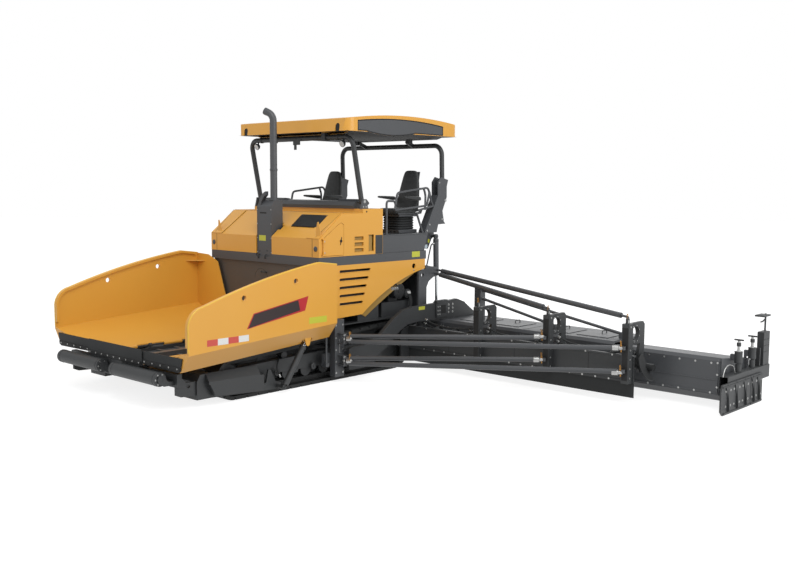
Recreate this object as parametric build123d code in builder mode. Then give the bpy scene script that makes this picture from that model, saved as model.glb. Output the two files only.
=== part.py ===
from build123d import *
from math import atan2, cos, degrees, pi, sin, tan
import os

os.makedirs("parts", exist_ok=True)

# Asphalt paver on tracks, set up for its full paving width.
# +X is forward, +Y is the machine's left, +Z is up; the ground is z = 0. Millimetres.

# ---------------------------------------------------------------- clearances
SEAT_GAP = 0.3        # two faces that sit on each other, on different bodies
FIT_GAP = 0.05        # radial gap of a shaft in its bore
MOVE_GAP = 12.0       # what moves past something else

# ---------------------------------------------------------------- driving sizes
TRACK_OUTER = 1250.0      # half the width over the tracks
SHOE_WIDTH = 325.0
SHOE_PITCH = 190.0
SHOE_FILL = 0.9           # share of the pitch that the pad covers
PAD_THICK = 30.0
SHOE_PLATE = 20.0
CHAIN_THICK = 62.0
CHAIN_WIDTH = 120.0
REAR_RADIUS = 370.0       # outside of the pads, on the sprocket
FRONT_RADIUS = 280.0      # the same on the front idler
FRONT_WHEEL_X = 2140.0
REAR_WHEEL_X = -900.0
TRACK_INNER = TRACK_OUTER - SHOE_WIDTH
CHAIN_Y = TRACK_OUTER - 0.55 * SHOE_WIDTH

CHASSIS_WALL_Y = 500.0    # inner face of the tunnel walls
CHASSIS_WALL = 28.0
CHASSIS_FRONT = 3040.0
CHASSIS_REAR = -1250.0
CONVEYOR_Z = 440.0
FENDER_Z = 790.0          # plate over the tracks

WING_FRONT = 3100.0
WING_REAR = 652.0
WING_OUTER = 1630.0
WING_WALL = 30.0
WING_PLATE = 14.0
HINGE_Y = 540.0
HINGE_Z = 530.0
HINGE_PIN_R = 14.0
HINGE_KNUCKLE_R = 26.0
HINGE_LUG_R = 21.0
HINGE_LUG_THICK = 24.0
HINGE_LUGS = (760.0, 1500.0, 2240.0, 2980.0)
WING_EDGE_Y = 568.0
WING_EDGE_Z = 552.0
WING_KNEE_Y = 1460.0
WING_KNEE_INNER = 1430.0
WING_SIDE_HOLES = ((2260.0, 1380.0), (1400.0, 1535.0))
WING_HOLE_R = 35.0

HOOD_FRONT = 640.0
HOOD_REAR = -650.0
HOOD_HALF = 1250.0
HOOD_BASE_Z = 1780.0
HOOD_NOSE_Z = 2040.0
HOOD_TOP_Z = 2390.0
HOOD_WALL = 22.0
BAND_Z = 1650.0           # underside of the dark band below the hood
DECK_TOP_Z = 2055.0
DECK_REAR = -1640.0

TOW_PIN_X = 150.0
TOW_PIN_Z = 300.0
TOW_PIN_R = 35.0
ARM_INNER = 1440.0
ARM_THICK = 60.0

AUGER_X = -1475.0
AUGER_Z = 470.0
AUGER_R = 190.0
AUGER_SHAFT_R = 48.0
AUGER_END = 5300.0
AUGER_PITCH = 360.0
MOULD_X = -1190.0
MOULD_THICK = 14.0

LIFT_DEG = 5.0            # travel of the screed's arms on their front pins
TOW_TRAVEL = 120.0        # travel of the front pins in their guides
GATE_TRAVEL = 100.0

SCREED_FRONT = -1720.0
SCREED_REAR = -2560.0
SCREED_BOTTOM = 100.0
SCREED_TOP = 700.0
SCREED_END = 6070.0
GATE_REACH = 170.0        # from the screed's end to the plate of the end gate
GATE_Y = SCREED_END + GATE_REACH

ROOF_FRONT = 100.0
ROOF_REAR = -2400.0
ROOF_HALF = 1262.0
ROOF_RISE = 200.0         # height of the roof's sides

PUSH_X = 3220.0
PUSH_Z = 420.0
PUSH_R = 88.0
TAIL_X = -2880.0          # rear end of the end gates
MIDDLE_X = (PUSH_X + PUSH_R + TAIL_X) / 2


# ---------------------------------------------------------------- shapes used again and again
def block(x, y, z, mode=Mode.ADD):
    """A square-edged block between two values along each axis."""
    with Locations(((x[0] + x[1]) / 2, (y[0] + y[1]) / 2, (z[0] + z[1]) / 2)):
        Box(abs(x[1] - x[0]), abs(y[1] - y[0]), abs(z[1] - z[0]), mode=mode)


def side_plate(points, y, thick, mode=Mode.ADD):
    """A plate that stands along the machine: outline in X and Z, from y towards +Y."""
    with BuildSketch(Plane.XZ.offset(-y)) as outline:
        with BuildLine():
            Polyline(*points, close=True)
        make_face()
    extrude(outline.sketch, amount=-thick, mode=mode)


def cross_plate(points, x, thick, mode=Mode.ADD):
    """A plate that stands across the machine: outline in Y and Z, from x towards +X."""
    with BuildSketch(Plane.YZ.offset(x)) as outline:
        with BuildLine():
            Polyline(*points, close=True)
        make_face()
    extrude(outline.sketch, amount=thick, mode=mode)


def bar(start, end, radius, mode=Mode.ADD):
    """A round bar between two points."""
    run = Vector(*end) - Vector(*start)
    with BuildSketch(Plane(origin=start, z_dir=run.normalized())) as section:
        Circle(radius)
    extrude(section.sketch, amount=run.length, mode=mode)


def write(builder, name):
    """Writes one piece, moved so that x = 0 is the middle of the overall length."""
    piece = builder.part.moved(Location((-MIDDLE_X, 0, 0)))
    piece.label = name
    export_step(piece, "parts/" + name + ".step")


def write_pair(left, name):
    """Writes a left piece, and its mirror image as the right one."""
    write(left, name + "_left")
    with BuildPart() as right:
        mirror(left.part, about=Plane.XZ)
    write(right, name + "_right")


# ---------------------------------------------------------------- tracks
WHEEL_BASE = FRONT_WHEEL_X - REAR_WHEEL_X
SLOPE = 2 * atan2(REAR_RADIUS - FRONT_RADIUS, WHEEL_BASE)    # fall of the upper run, in radians
LOOP_LENGTH = 2 * WHEEL_BASE + REAR_RADIUS * (pi + SLOPE) + FRONT_RADIUS * (pi - SLOPE)
SHOE_COUNT = round(LOOP_LENGTH / SHOE_PITCH)
SHOE_STEP = LOOP_LENGTH / SHOE_COUNT
CHAIN_DEPTH = PAD_THICK + SHOE_PLATE + CHAIN_THICK


def wheel_point(centre_x, wheel_radius, depth, turn):
    """Point on one end of the loop, depth in from the pads, at an angle in radians."""
    return (centre_x + (wheel_radius - depth) * cos(turn), wheel_radius + (wheel_radius - depth) * sin(turn))


def loop_station(run, depth):
    """Place on the track's loop, run along it from the rear wheel, depth in from the pads."""
    if run < WHEEL_BASE:
        return Location((REAR_WHEEL_X + run, depth, 0), (0, 0, 0))
    run -= WHEEL_BASE
    if run < FRONT_RADIUS * (pi - SLOPE):
        turn = run / FRONT_RADIUS - pi / 2
        return Location((*wheel_point(FRONT_WHEEL_X, FRONT_RADIUS, depth, turn), 0), (0, 0, degrees(turn) + 90))
    run -= FRONT_RADIUS * (pi - SLOPE)
    if run < WHEEL_BASE:
        start = wheel_point(FRONT_WHEEL_X, FRONT_RADIUS, depth, pi / 2 - SLOPE)
        return Location((start[0] - run * cos(SLOPE), start[1] + run * sin(SLOPE), 0), (0, 0, 180 - degrees(SLOPE)))
    run -= WHEEL_BASE
    turn = run / REAR_RADIUS + pi / 2 - SLOPE
    return Location((*wheel_point(REAR_WHEEL_X, REAR_RADIUS, depth, turn), 0), (0, 0, degrees(turn) + 90))


def upper_run_z(x, depth):
    """Height of the upper run at x, depth in from the pads."""
    start = wheel_point(FRONT_WHEEL_X, FRONT_RADIUS, depth, pi / 2 - SLOPE)
    return start[1] + (start[0] - x) * tan(SLOPE)


def loop_lines(depth):
    """The loop's outline, depth in from the pads: two lines and two arcs."""
    front_low = (FRONT_WHEEL_X, depth)
    front_high = wheel_point(FRONT_WHEEL_X, FRONT_RADIUS, depth, pi / 2 - SLOPE)
    rear_high = wheel_point(REAR_WHEEL_X, REAR_RADIUS, depth, pi / 2 - SLOPE)
    rear_low = (REAR_WHEEL_X, depth)
    Line(rear_low, front_low)
    ThreePointArc(front_low, wheel_point(FRONT_WHEEL_X, FRONT_RADIUS, depth, -SLOPE / 2), front_high)
    Line(front_high, rear_high)
    ThreePointArc(rear_high, wheel_point(REAR_WHEEL_X, REAR_RADIUS, depth, pi - SLOPE / 2), rear_low)


LOOP_MID = (FRONT_WHEEL_X + REAR_WHEEL_X) / 2
with BuildPart() as tracks:
    with BuildSketch(Plane.XZ.offset(-TRACK_INNER)) as shoe_loop:
        with BuildLine():
            loop_lines(PAD_THICK)
        make_face()
        with Locations(*[loop_station((shoe + 0.5) * SHOE_STEP, PAD_THICK / 2 + 2)
                         for shoe in range(SHOE_COUNT)]):
            Rectangle(SHOE_FILL * SHOE_STEP, PAD_THICK + 4)
        with BuildLine():
            loop_lines(0)
        make_face(mode=Mode.INTERSECT)
        with BuildLine():
            loop_lines(PAD_THICK + SHOE_PLATE)
        make_face(mode=Mode.SUBTRACT)
    extrude(amount=-SHOE_WIDTH)
    with BuildSketch(Plane.XZ.offset(-(CHAIN_Y - CHAIN_WIDTH / 2))) as chain_loop:
        with BuildLine():
            loop_lines(PAD_THICK + SHOE_PLATE)
        make_face()
        with BuildLine():
            loop_lines(CHAIN_DEPTH)
        make_face(mode=Mode.SUBTRACT)
    extrude(amount=-CHAIN_WIDTH)
    mirror(about=Plane.XZ)
write(tracks, "tracks")

# Idler in front, sprocket behind, rollers on the lower run, all on one welded beam a side.
ROLLER_R = 92.0
ROLLER_Z = CHAIN_DEPTH + SEAT_GAP + ROLLER_R
CARRIER_R = 50.0
ROLLER_COUNT = 8
with BuildPart() as roller_frames:
    for wheel_x, wheel_radius in ((FRONT_WHEEL_X, FRONT_RADIUS), (REAR_WHEEL_X, REAR_RADIUS)):
        bar((wheel_x, CHAIN_Y - 50, wheel_radius), (wheel_x, CHAIN_Y + 50, wheel_radius),
            wheel_radius - CHAIN_DEPTH - SEAT_GAP)
        bar((wheel_x, CHAIN_Y + 38, wheel_radius), (wheel_x, CHAIN_Y + 50, wheel_radius),
            wheel_radius - CHAIN_DEPTH - 35, mode=Mode.SUBTRACT)
        bar((wheel_x, TRACK_INNER - 30, wheel_radius), (wheel_x, CHAIN_Y + 62, wheel_radius), 75)
    for roller in range(ROLLER_COUNT):
        roller_x = REAR_WHEEL_X + 330 + roller * (WHEEL_BASE - 660) / (ROLLER_COUNT - 1)
        bar((roller_x, CHAIN_Y - 55, ROLLER_Z), (roller_x, CHAIN_Y + 55, ROLLER_Z), ROLLER_R)
    for carrier_x in (LOOP_MID - 560, LOOP_MID + 560):
        carrier_z = upper_run_z(carrier_x, CHAIN_DEPTH + 1) - CARRIER_R
        bar((carrier_x, CHAIN_Y - 50, carrier_z), (carrier_x, CHAIN_Y + 50, carrier_z), CARRIER_R)
        block((carrier_x - 40, carrier_x + 40), (CHAIN_Y - 60, CHAIN_Y + 40), (360, carrier_z))
    side_plate([(REAR_WHEEL_X + 60, 300), (REAR_WHEEL_X + 300, 235), (FRONT_WHEEL_X - 300, 235),
                (FRONT_WHEEL_X - 60, 270), (FRONT_WHEEL_X - 60, 340), (FRONT_WHEEL_X - 300, 400),
                (REAR_WHEEL_X + 300, 470), (REAR_WHEEL_X + 60, 430)], CHAIN_Y - 65, 150)
    block((REAR_WHEEL_X + 230, FRONT_WHEEL_X - 230), (CHAIN_Y - 80, CHAIN_Y - 64), (CHAIN_DEPTH + 8, 330))
    mirror(about=Plane.XZ)
write(roller_frames, "roller_frames")

# ---------------------------------------------------------------- chassis
BEAM_Y = CHAIN_Y - 80       # inner face of the track beams
wall_y = (CHASSIS_WALL_Y, CHASSIS_WALL_Y + CHASSIS_WALL)
with BuildPart() as chassis_frame:
    side_plate([(CHASSIS_REAR, 260), (CHASSIS_FRONT, 260), (CHASSIS_FRONT, 496), (HOOD_FRONT + 30, 496),
                (HOOD_FRONT - 20, FENDER_Z), (CHASSIS_REAR, FENDER_Z)], CHASSIS_WALL_Y, CHASSIS_WALL)
    for cross_x in (1450.0, 200.0, -500.0):
        block((cross_x - 90, cross_x + 90), (wall_y[1], BEAM_Y), (270, 450))
    for lug_x in HINGE_LUGS:
        cross_plate([(wall_y[0], 470), (wall_y[1], 470), (HINGE_Y + HINGE_LUG_R, HINGE_Z - 5),
                     (HINGE_Y + HINGE_LUG_R, HINGE_Z + 6), (HINGE_Y + 6, HINGE_Z + HINGE_LUG_R),
                     (HINGE_Y - 12, HINGE_Z + HINGE_LUG_R), (wall_y[0], 496)],
                    lug_x - HINGE_LUG_THICK / 2, HINGE_LUG_THICK)
    bar((720, HINGE_Y, HINGE_Z), (3020, HINGE_Y, HINGE_Z), HINGE_PIN_R)
    block((CHASSIS_REAR, 600), (wall_y[1], TRACK_OUTER - 25), (FENDER_Z - 16, FENDER_Z))
    mirror(about=Plane.XZ)
    block((CHASSIS_REAR, CHASSIS_FRONT), (-CHASSIS_WALL_Y, CHASSIS_WALL_Y), (260, 280))
    block((CHASSIS_FRONT - 70, CHASSIS_FRONT), (-1290, 1290), (300, 470))
    block((CHASSIS_FRONT, WING_FRONT + 30), (-600, 600), (400, 505))
    block((CHASSIS_REAR, 600), (-CHASSIS_WALL_Y, CHASSIS_WALL_Y), (FENDER_Z - 16, FENDER_Z))
write(chassis_frame, "chassis_frame")

# Apron bars, side guides and the cover of the drag chains in the middle.
with BuildPart() as conveyor:
    block((CHASSIS_REAR + 10, CHASSIS_FRONT - 80), (-CHASSIS_WALL_Y + SEAT_GAP, CHASSIS_WALL_Y - SEAT_GAP),
          (CONVEYOR_Z, CONVEYOR_Z + 12))
    block((CHASSIS_REAR + 10, CHASSIS_FRONT - 80), (-45, 45), (CONVEYOR_Z, CONVEYOR_Z + 80))
    for bar_no in range(14):
        bar_x = CHASSIS_REAR + 130 + bar_no * 300
        block((bar_x - 25, bar_x + 25), (-470, 470), (CONVEYOR_Z, CONVEYOR_Z + 34))
write(conveyor, "conveyor")

with BuildPart() as engine_block:
    block((-900, 300), (-420, 420), (FENDER_Z, 1560))
write(engine_block, "engine_block")

# Guards in front of and outside the tracks, welded to the front cross beam, with the
# feet of the wing cylinders at their rear.
GUARD_Y = (TRACK_OUTER + 12, TRACK_OUTER + 40)
GUARD_BOX_Y = TRACK_OUTER + 120      # outer face of the step in front of the tracks
CYL_FOOT = (1450.0, 1430.0, 90.0)
CYL_FOOT_R = 14.0
LASH_FRONT = (2860.0, 300.0)     # tie-down holes in the front side plates, X and Z
LASH_REAR = (-1540.0, 1395.0)    # and in the rear columns
LASH_R = 30.0
CYL_BALL_R = 24.0
with BuildPart() as track_guards:
    side_plate([(2520, 100), (2520, 420), (2700, 420), (2750, 330), (2750, 100)], 900, GUARD_Y[1] - 900)
    side_plate([(1390, 50), (1390, 130), (1480, 165), (1560, 330), (1600, 330), (1640, 160), (1760, 150),
                (1960, 400), (2530, 420), (2530, 100), (1760, 60)], GUARD_Y[0], GUARD_Y[1] - GUARD_Y[0])
    side_plate([(1740, 80), (1740, 300), (2620, 320), (2520, 130)], GUARD_Y[1], GUARD_BOX_Y - GUARD_Y[1])
    with BuildSketch(Plane.YZ.offset(1800)):
        with BuildLine():
            Polyline((GUARD_Y[0], 290), (GUARD_Y[0], 425), (GUARD_Y[1], 425), (GUARD_BOX_Y, 310), (GUARD_BOX_Y, 290),
                     close=True)
        make_face()
    with BuildSketch(Plane.YZ.offset(2620)):
        with BuildLine():
            Polyline((GUARD_Y[0], 290), (GUARD_Y[0], 425), (GUARD_Y[1], 425), (GUARD_BOX_Y, 325), (GUARD_BOX_Y, 290),
                     close=True)
        make_face()
    loft(ruled=True)
    side_plate([(2500, 330), (2500, 150), (2760, 160), (CHASSIS_FRONT - 70, 170), (CHASSIS_FRONT, 200),
                (CHASSIS_FRONT, 299.7), (CHASSIS_FRONT - 70.3, 299.7), (CHASSIS_FRONT - 70.3, 400),
                (2940, 400), (2900, 345)], 1230, 35)
    bar((LASH_FRONT[0], 1220, LASH_FRONT[1]), (LASH_FRONT[0], 1270, LASH_FRONT[1]), LASH_R, mode=Mode.SUBTRACT)
    bar((CYL_FOOT[0], GUARD_Y[0], CYL_FOOT[2]), (CYL_FOOT[0], CYL_FOOT[1] - 30, CYL_FOOT[2]), 26)
    bar((CYL_FOOT[0], GUARD_Y[0], CYL_FOOT[2]), (CYL_FOOT[0], CYL_FOOT[1] + 30, CYL_FOOT[2]), CYL_FOOT_R)
    with Locations(CYL_FOOT):
        Sphere(CYL_BALL_R)
    mirror(about=Plane.XZ)
write(track_guards, "track_guards")

# ---------------------------------------------------------------- push beam and rollers
PUSH_Y = (150.0, 1190.0)
PUSH_SHAFT_R = 26.0
with BuildPart() as push_beam:
    block((CHASSIS_FRONT, 3110), (-PUSH_Y[1] - 32, PUSH_Y[1] + 32), (330, 380))
    for end_y in (PUSH_Y[0] - 12, PUSH_Y[1] + 32):
        side_plate([(3100, 330), (3180, 330), (PUSH_X + 30, PUSH_Z - 50), (PUSH_X + 50, PUSH_Z),
                    (PUSH_X + 30, PUSH_Z + 50), (PUSH_X - 40, PUSH_Z + 55), (3134, 395), (3100, 380)], end_y - 20, 20)
        bar((PUSH_X, end_y - 20, PUSH_Z), (PUSH_X, end_y, PUSH_Z), PUSH_SHAFT_R + FIT_GAP, mode=Mode.SUBTRACT)
    mirror(about=Plane.XZ)
write(push_beam, "push_beam")

with BuildPart() as push_roller_left:
    bar((PUSH_X, PUSH_Y[0], PUSH_Z), (PUSH_X, PUSH_Y[1], PUSH_Z), PUSH_R)
    bar((PUSH_X, PUSH_Y[0] - 30, PUSH_Z), (PUSH_X, PUSH_Y[1] + 30, PUSH_Z), PUSH_SHAFT_R)
write_pair(push_roller_left, "push_roller")

# ---------------------------------------------------------------- hopper wings
def floor_z(y, corner_z):
    """Height of the wing's floor at y, where it meets the wall at corner_z."""
    rise = (corner_z - WING_EDGE_Z) / (WING_OUTER - WING_WALL - WING_EDGE_Y)
    return WING_EDGE_Z + rise * (y - WING_EDGE_Y)


def wing_section(corner_z, bend_z, knee_z):
    """Floor, box edge and wall of a wing, in Y and Z."""
    under_z = floor_z(WING_KNEE_INNER, corner_z) - WING_PLATE
    return [(WING_OUTER, WING_SECTION_TOP), (WING_OUTER, bend_z), (WING_KNEE_Y, knee_z),
            (WING_KNEE_INNER, knee_z), (WING_KNEE_INNER, under_z),
            (WING_EDGE_Y, WING_EDGE_Z - WING_PLATE), (WING_EDGE_Y, WING_EDGE_Z),
            (WING_OUTER - WING_WALL, corner_z), (WING_OUTER - WING_WALL, WING_SECTION_TOP)]


WING_FRONT_Z = (760.0, 745.0, 520.0)     # floor corner, outer bend and knee at the front
WING_REAR_Z = (920.0, 905.0, 690.0)      # the same at the rear
WING_SECTION_TOP = 1900.0
WING_LIP = 34.0
WING_EYE = (1090.0, 1440.0, 640.0)       # pin of the cylinder's rod on the wing
EAR_GAP = (38.0, 62.0)                   # room for the eye inside and outside of its middle, as it drifts
EAR_THICK = 14.0
wing_rear_floor = floor_z(700, WING_REAR_Z[0])
with BuildPart() as hopper_wing_left:
    with BuildSketch(Plane.YZ.offset(WING_REAR - 60)):
        with BuildLine():
            Polyline(*wing_section(*WING_REAR_Z), close=True)
        make_face()
    with BuildSketch(Plane.YZ.offset(WING_FRONT)):
        with BuildLine():
            Polyline(*wing_section(*WING_FRONT_Z), close=True)
        make_face()
    loft(ruled=True)
    with BuildSketch(Plane.XZ) as wing_side:
        with BuildLine():
            Polyline((WING_REAR, 1715), (WING_REAR, 450), (WING_FRONT, 450),
                     (WING_FRONT, 1090))
            ThreePointArc((WING_FRONT, 1090), (WING_FRONT - 52, 1222), (WING_FRONT - 220, 1320))
            ThreePointArc((WING_FRONT - 220, 1320), (1930, 1585), (980, 1757))
            Line((980, 1757), (WING_REAR, 1715))
        make_face()
    extrude(amount=-2000, mode=Mode.INTERSECT)
    # The rolled lip along the top and the front.
    with BuildSketch(Plane.XZ.offset(-(WING_OUTER - WING_WALL - WING_LIP))) as lip:
        add(wing_side.sketch)
        offset(amount=-WING_LIP, mode=Mode.SUBTRACT)
        with Locations((WING_REAR - 100, 1000)):
            Rectangle(320, 2400, mode=Mode.SUBTRACT)
        with Locations((1800, 600)):
            Rectangle(3200, 480, mode=Mode.SUBTRACT)
    extrude(amount=-WING_LIP - 2)
    # The slanted rear wall and its gusset.
    cross_plate([(WING_OUTER - 15, 1713), (1310, 1700), (1070, 1600), (880, 1080), (700, wing_rear_floor - 5),
                 (WING_OUTER - 15, floor_z(WING_OUTER - 15, WING_REAR_Z[0]) - 8)], WING_REAR, 16)
    with BuildSketch(Plane.XY.offset(1590)):
        with BuildLine():
            Polyline((WING_REAR + 10, WING_OUTER - WING_WALL + 6), (WING_REAR + 10, 1400),
                     (WING_REAR + 30, 1400), (WING_REAR + 240, WING_OUTER - WING_WALL + 6), close=True)
        make_face()
    extrude(amount=12)
    for hole_x, hole_z in WING_SIDE_HOLES:
        bar((hole_x, WING_OUTER - WING_WALL - 40, hole_z), (hole_x, WING_OUTER + 10, hole_z), WING_HOLE_R,
            mode=Mode.SUBTRACT)
    # Hinge knuckles between the chassis lugs.
    for lug_a, lug_b in zip(HINGE_LUGS, HINGE_LUGS[1:]):
        mid_x = (lug_a + lug_b) / 2
        bar((mid_x - 150, HINGE_Y, HINGE_Z), (mid_x + 150, HINGE_Y, HINGE_Z), HINGE_KNUCKLE_R)
        block((mid_x - 150, mid_x + 150), (HINGE_Y + 10, WING_EDGE_Y + 4), (WING_EDGE_Z - 18, WING_EDGE_Z - 1))
        bar((mid_x - 160, HINGE_Y, HINGE_Z), (mid_x + 160, HINGE_Y, HINGE_Z), HINGE_PIN_R + FIT_GAP,
            mode=Mode.SUBTRACT)
    # Pocket and ears for the eye of the cylinder's rod.
    block((WING_EYE[0] - 95, WING_EYE[0] + 95), (WING_EYE[1] - EAR_GAP[0], WING_EYE[1] + EAR_GAP[1]), (500, 722),
          mode=Mode.SUBTRACT)
    for ear_y in (WING_EYE[1] - EAR_GAP[0] - EAR_THICK, WING_EYE[1] + EAR_GAP[1]):
        top_z = 816 if ear_y < WING_EYE[1] else 735
        side_plate([(WING_EYE[0] - 60, top_z), (WING_EYE[0] - 30, WING_EYE[2] - 6),
                    (WING_EYE[0], WING_EYE[2] - 24), (WING_EYE[0] + 30, WING_EYE[2] - 6),
                    (WING_EYE[0] + 60, top_z)], ear_y, EAR_THICK)
write_pair(hopper_wing_left, "hopper_wing")

FLAP_THICK = 16.0
with BuildPart() as wing_flap_left:
    cross_plate([(640, 535), (WING_KNEE_INNER, 522), (1470, 540), (1510, 700), (660, 700), (640, 680)],
                WING_FRONT, FLAP_THICK)
write_pair(wing_flap_left, "wing_flap")

with BuildPart() as centre_flap:
    cross_plate([(-660, 505.3), (660, 505.3), (660, 680), (635, 715), (-635, 715), (-660, 680)],
                WING_FRONT + FLAP_THICK + 6, 12)
write(centre_flap, "centre_flap")


# ---------------------------------------------------------------- wing cylinders
# Each stands on a ball on its foot pin; its rod's eye lies between the wing's ears.
CYL_RUN = Vector(*WING_EYE) - Vector(*CYL_FOOT)
CYL_AXIS = CYL_RUN.normalized()
CYL_BARREL_R = 42.0
CYL_ROD_R = 20.0
CYL_EYE_R = 36.0
CYL_BARREL_TOP = 619.0
CYL_EYE_HALF = 12.0


def along_cylinder(run):
    """Point on the cylinder's centre line, run away from its foot."""
    return tuple(Vector(*CYL_FOOT) + CYL_AXIS * run)


with BuildPart() as wing_cylinder_left:
    bar((CYL_FOOT[0], CYL_FOOT[1] - CYL_EYE_HALF, CYL_FOOT[2]),
        (CYL_FOOT[0], CYL_FOOT[1] + CYL_EYE_HALF, CYL_FOOT[2]), CYL_EYE_R)
    bar(along_cylinder(30), along_cylinder(CYL_BARREL_TOP), CYL_BARREL_R)
    bar(along_cylinder(CYL_BARREL_TOP - 40), along_cylinder(CYL_BARREL_TOP), CYL_BARREL_R + 6)
    bar(along_cylinder(46), along_cylinder(CYL_BARREL_TOP), CYL_ROD_R + FIT_GAP, mode=Mode.SUBTRACT)
    with Locations(CYL_FOOT):
        Sphere(CYL_BALL_R + FIT_GAP, mode=Mode.SUBTRACT)
    for side in (-1, 1):
        bar((CYL_FOOT[0], CYL_FOOT[1] + side * CYL_EYE_HALF, CYL_FOOT[2]),
            (CYL_FOOT[0], CYL_FOOT[1] + side * (CYL_EYE_HALF + 60), CYL_FOOT[2]), CYL_EYE_R + 8,
            mode=Mode.SUBTRACT)
write_pair(wing_cylinder_left, "wing_cylinder")

with BuildPart() as wing_rod_left:
    bar(along_cylinder(50), WING_EYE, CYL_ROD_R)
    bar((WING_EYE[0], WING_EYE[1] - 13, WING_EYE[2]), (WING_EYE[0], WING_EYE[1] + 13, WING_EYE[2]), 30)
    bar((WING_EYE[0], WING_EYE[1] - 30, WING_EYE[2]), (WING_EYE[0], WING_EYE[1] + 30, WING_EYE[2]), 13,
        mode=Mode.SUBTRACT)
write_pair(wing_rod_left, "wing_rod")

# ---------------------------------------------------------------- engine housing
HOOD_SLOT = (-140.0, 220.0)      # gap in the hood for the exhaust casing
HOOD_STEP_X = -230.0
HOOD_STEP_Z = 2450.0
DOOR_X = (155.0, 548.0)
DOOR_GAP = 5.0
DOOR_PIN = (566.0, 1266.0)
DOOR_PIN_R = 8.0


def hood_outline(inset):
    """Hood seen from the side, inset from its outer skin."""
    return [(HOOD_FRONT - inset, HOOD_BASE_Z), (HOOD_FRONT - inset, HOOD_NOSE_Z - 0.35 * inset),
            (190 - 0.35 * inset, HOOD_TOP_Z - inset), (HOOD_STEP_X - inset, HOOD_TOP_Z - inset),
            (HOOD_STEP_X - inset, HOOD_STEP_Z - inset), (HOOD_REAR + inset, HOOD_STEP_Z - inset),
            (HOOD_REAR + inset, HOOD_BASE_Z)]


def door_outline(gap):
    """Engine door seen from the side, smaller than its opening by gap."""
    return [(DOOR_X[1] - gap, HOOD_BASE_Z + 12 + gap), (DOOR_X[1] - gap, 2050 - gap),
            (300, 2218 - gap), (210, 2262 - gap), (DOOR_X[0] + gap, 2235 - gap),
            (DOOR_X[0] + gap, HOOD_BASE_Z + 12 + gap)]


with BuildPart() as hood:
    side_plate(hood_outline(0), -HOOD_HALF, 2 * HOOD_HALF)
    side_plate(hood_outline(HOOD_WALL), -HOOD_HALF + HOOD_WALL, 2 * (HOOD_HALF - HOOD_WALL), mode=Mode.SUBTRACT)
    block((390, HOOD_FRONT + 10), HOOD_SLOT, (HOOD_BASE_Z - 10, HOOD_TOP_Z + 20), mode=Mode.SUBTRACT)
    block((425, 515), (HOOD_SLOT[1] - 1, HOOD_SLOT[1] + 55), (HOOD_NOSE_Z, HOOD_TOP_Z), mode=Mode.SUBTRACT)
    for side in (-1, 1):
        side_plate(door_outline(0), side * (HOOD_HALF - 40) - 60, 120, mode=Mode.SUBTRACT)
        for slot in range(3):
            block((-240, -60), (side * (HOOD_HALF - 60), side * (HOOD_HALF + 10)),
                  (1830 + slot * 85, 1880 + slot * 85), mode=Mode.SUBTRACT)
        block((-460, -350), (side * (HOOD_HALF - 60), side * (HOOD_HALF + 10)), (1830, 2070), mode=Mode.SUBTRACT)
        for ear_z in (1805, 2032):
            block((DOOR_X[1] + 4, 592), (side * HOOD_HALF, side * (DOOR_PIN[1] + 12)), (ear_z, ear_z + 14))
        bar((DOOR_PIN[0], side * DOOR_PIN[1], 1810), (DOOR_PIN[0], side * DOOR_PIN[1], 2040), DOOR_PIN_R)
write(hood, "hood")

with BuildPart() as engine_door_left:
    side_plate(door_outline(DOOR_GAP), HOOD_HALF - 20, 20)
    for knuckle_z in (1825, 1985):
        bar((DOOR_PIN[0], DOOR_PIN[1], knuckle_z), (DOOR_PIN[0], DOOR_PIN[1], knuckle_z + 40), 13)
        block((DOOR_X[1] - 34, DOOR_PIN[0]), (HOOD_HALF, HOOD_HALF + 8), (knuckle_z, knuckle_z + 40))
        bar((DOOR_PIN[0], DOOR_PIN[1], knuckle_z), (DOOR_PIN[0], DOOR_PIN[1], knuckle_z + 40),
            DOOR_PIN_R + FIT_GAP, mode=Mode.SUBTRACT)
write_pair(engine_door_left, "engine_door")

SCREEN_RUN = Vector(190 - HOOD_FRONT, 0, HOOD_TOP_Z - HOOD_NOSE_Z).normalized()
with BuildPart() as air_screen:
    with BuildSketch(Plane(origin=(345, 730, HOOD_TOP_Z - (345 - 190) * (HOOD_TOP_Z - HOOD_NOSE_Z) / (HOOD_FRONT - 190)),
                           x_dir=(0, 1, 0),
                           z_dir=(SCREEN_RUN.Z, 0, -SCREEN_RUN.X))):
        Rectangle(560, 270)
    extrude(amount=14)
write(air_screen, "air_screen")

with BuildPart() as front_bulkhead:
    cross_plate([(-1222.7, FENDER_Z), (1222.7, FENDER_Z), (1222.7, HOOD_BASE_Z), (-1222.7, HOOD_BASE_Z)], 588, 12)
write(front_bulkhead, "front_bulkhead")

# Dark frame under the hood and round the engine bay; hollow inside.
with BuildPart() as deck_frame:
    block((DECK_REAR, HOOD_FRONT), (-1245, 1245), (BAND_Z, HOOD_BASE_Z))
    block((DECK_REAR + 40, 600), (-1223, 1223), (BAND_Z - 1, HOOD_BASE_Z + 1), mode=Mode.SUBTRACT)
    block((600, HOOD_FRONT + 1), HOOD_SLOT, (BAND_Z + 90, HOOD_BASE_Z + 1), mode=Mode.SUBTRACT)
write(deck_frame, "deck_frame")

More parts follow.
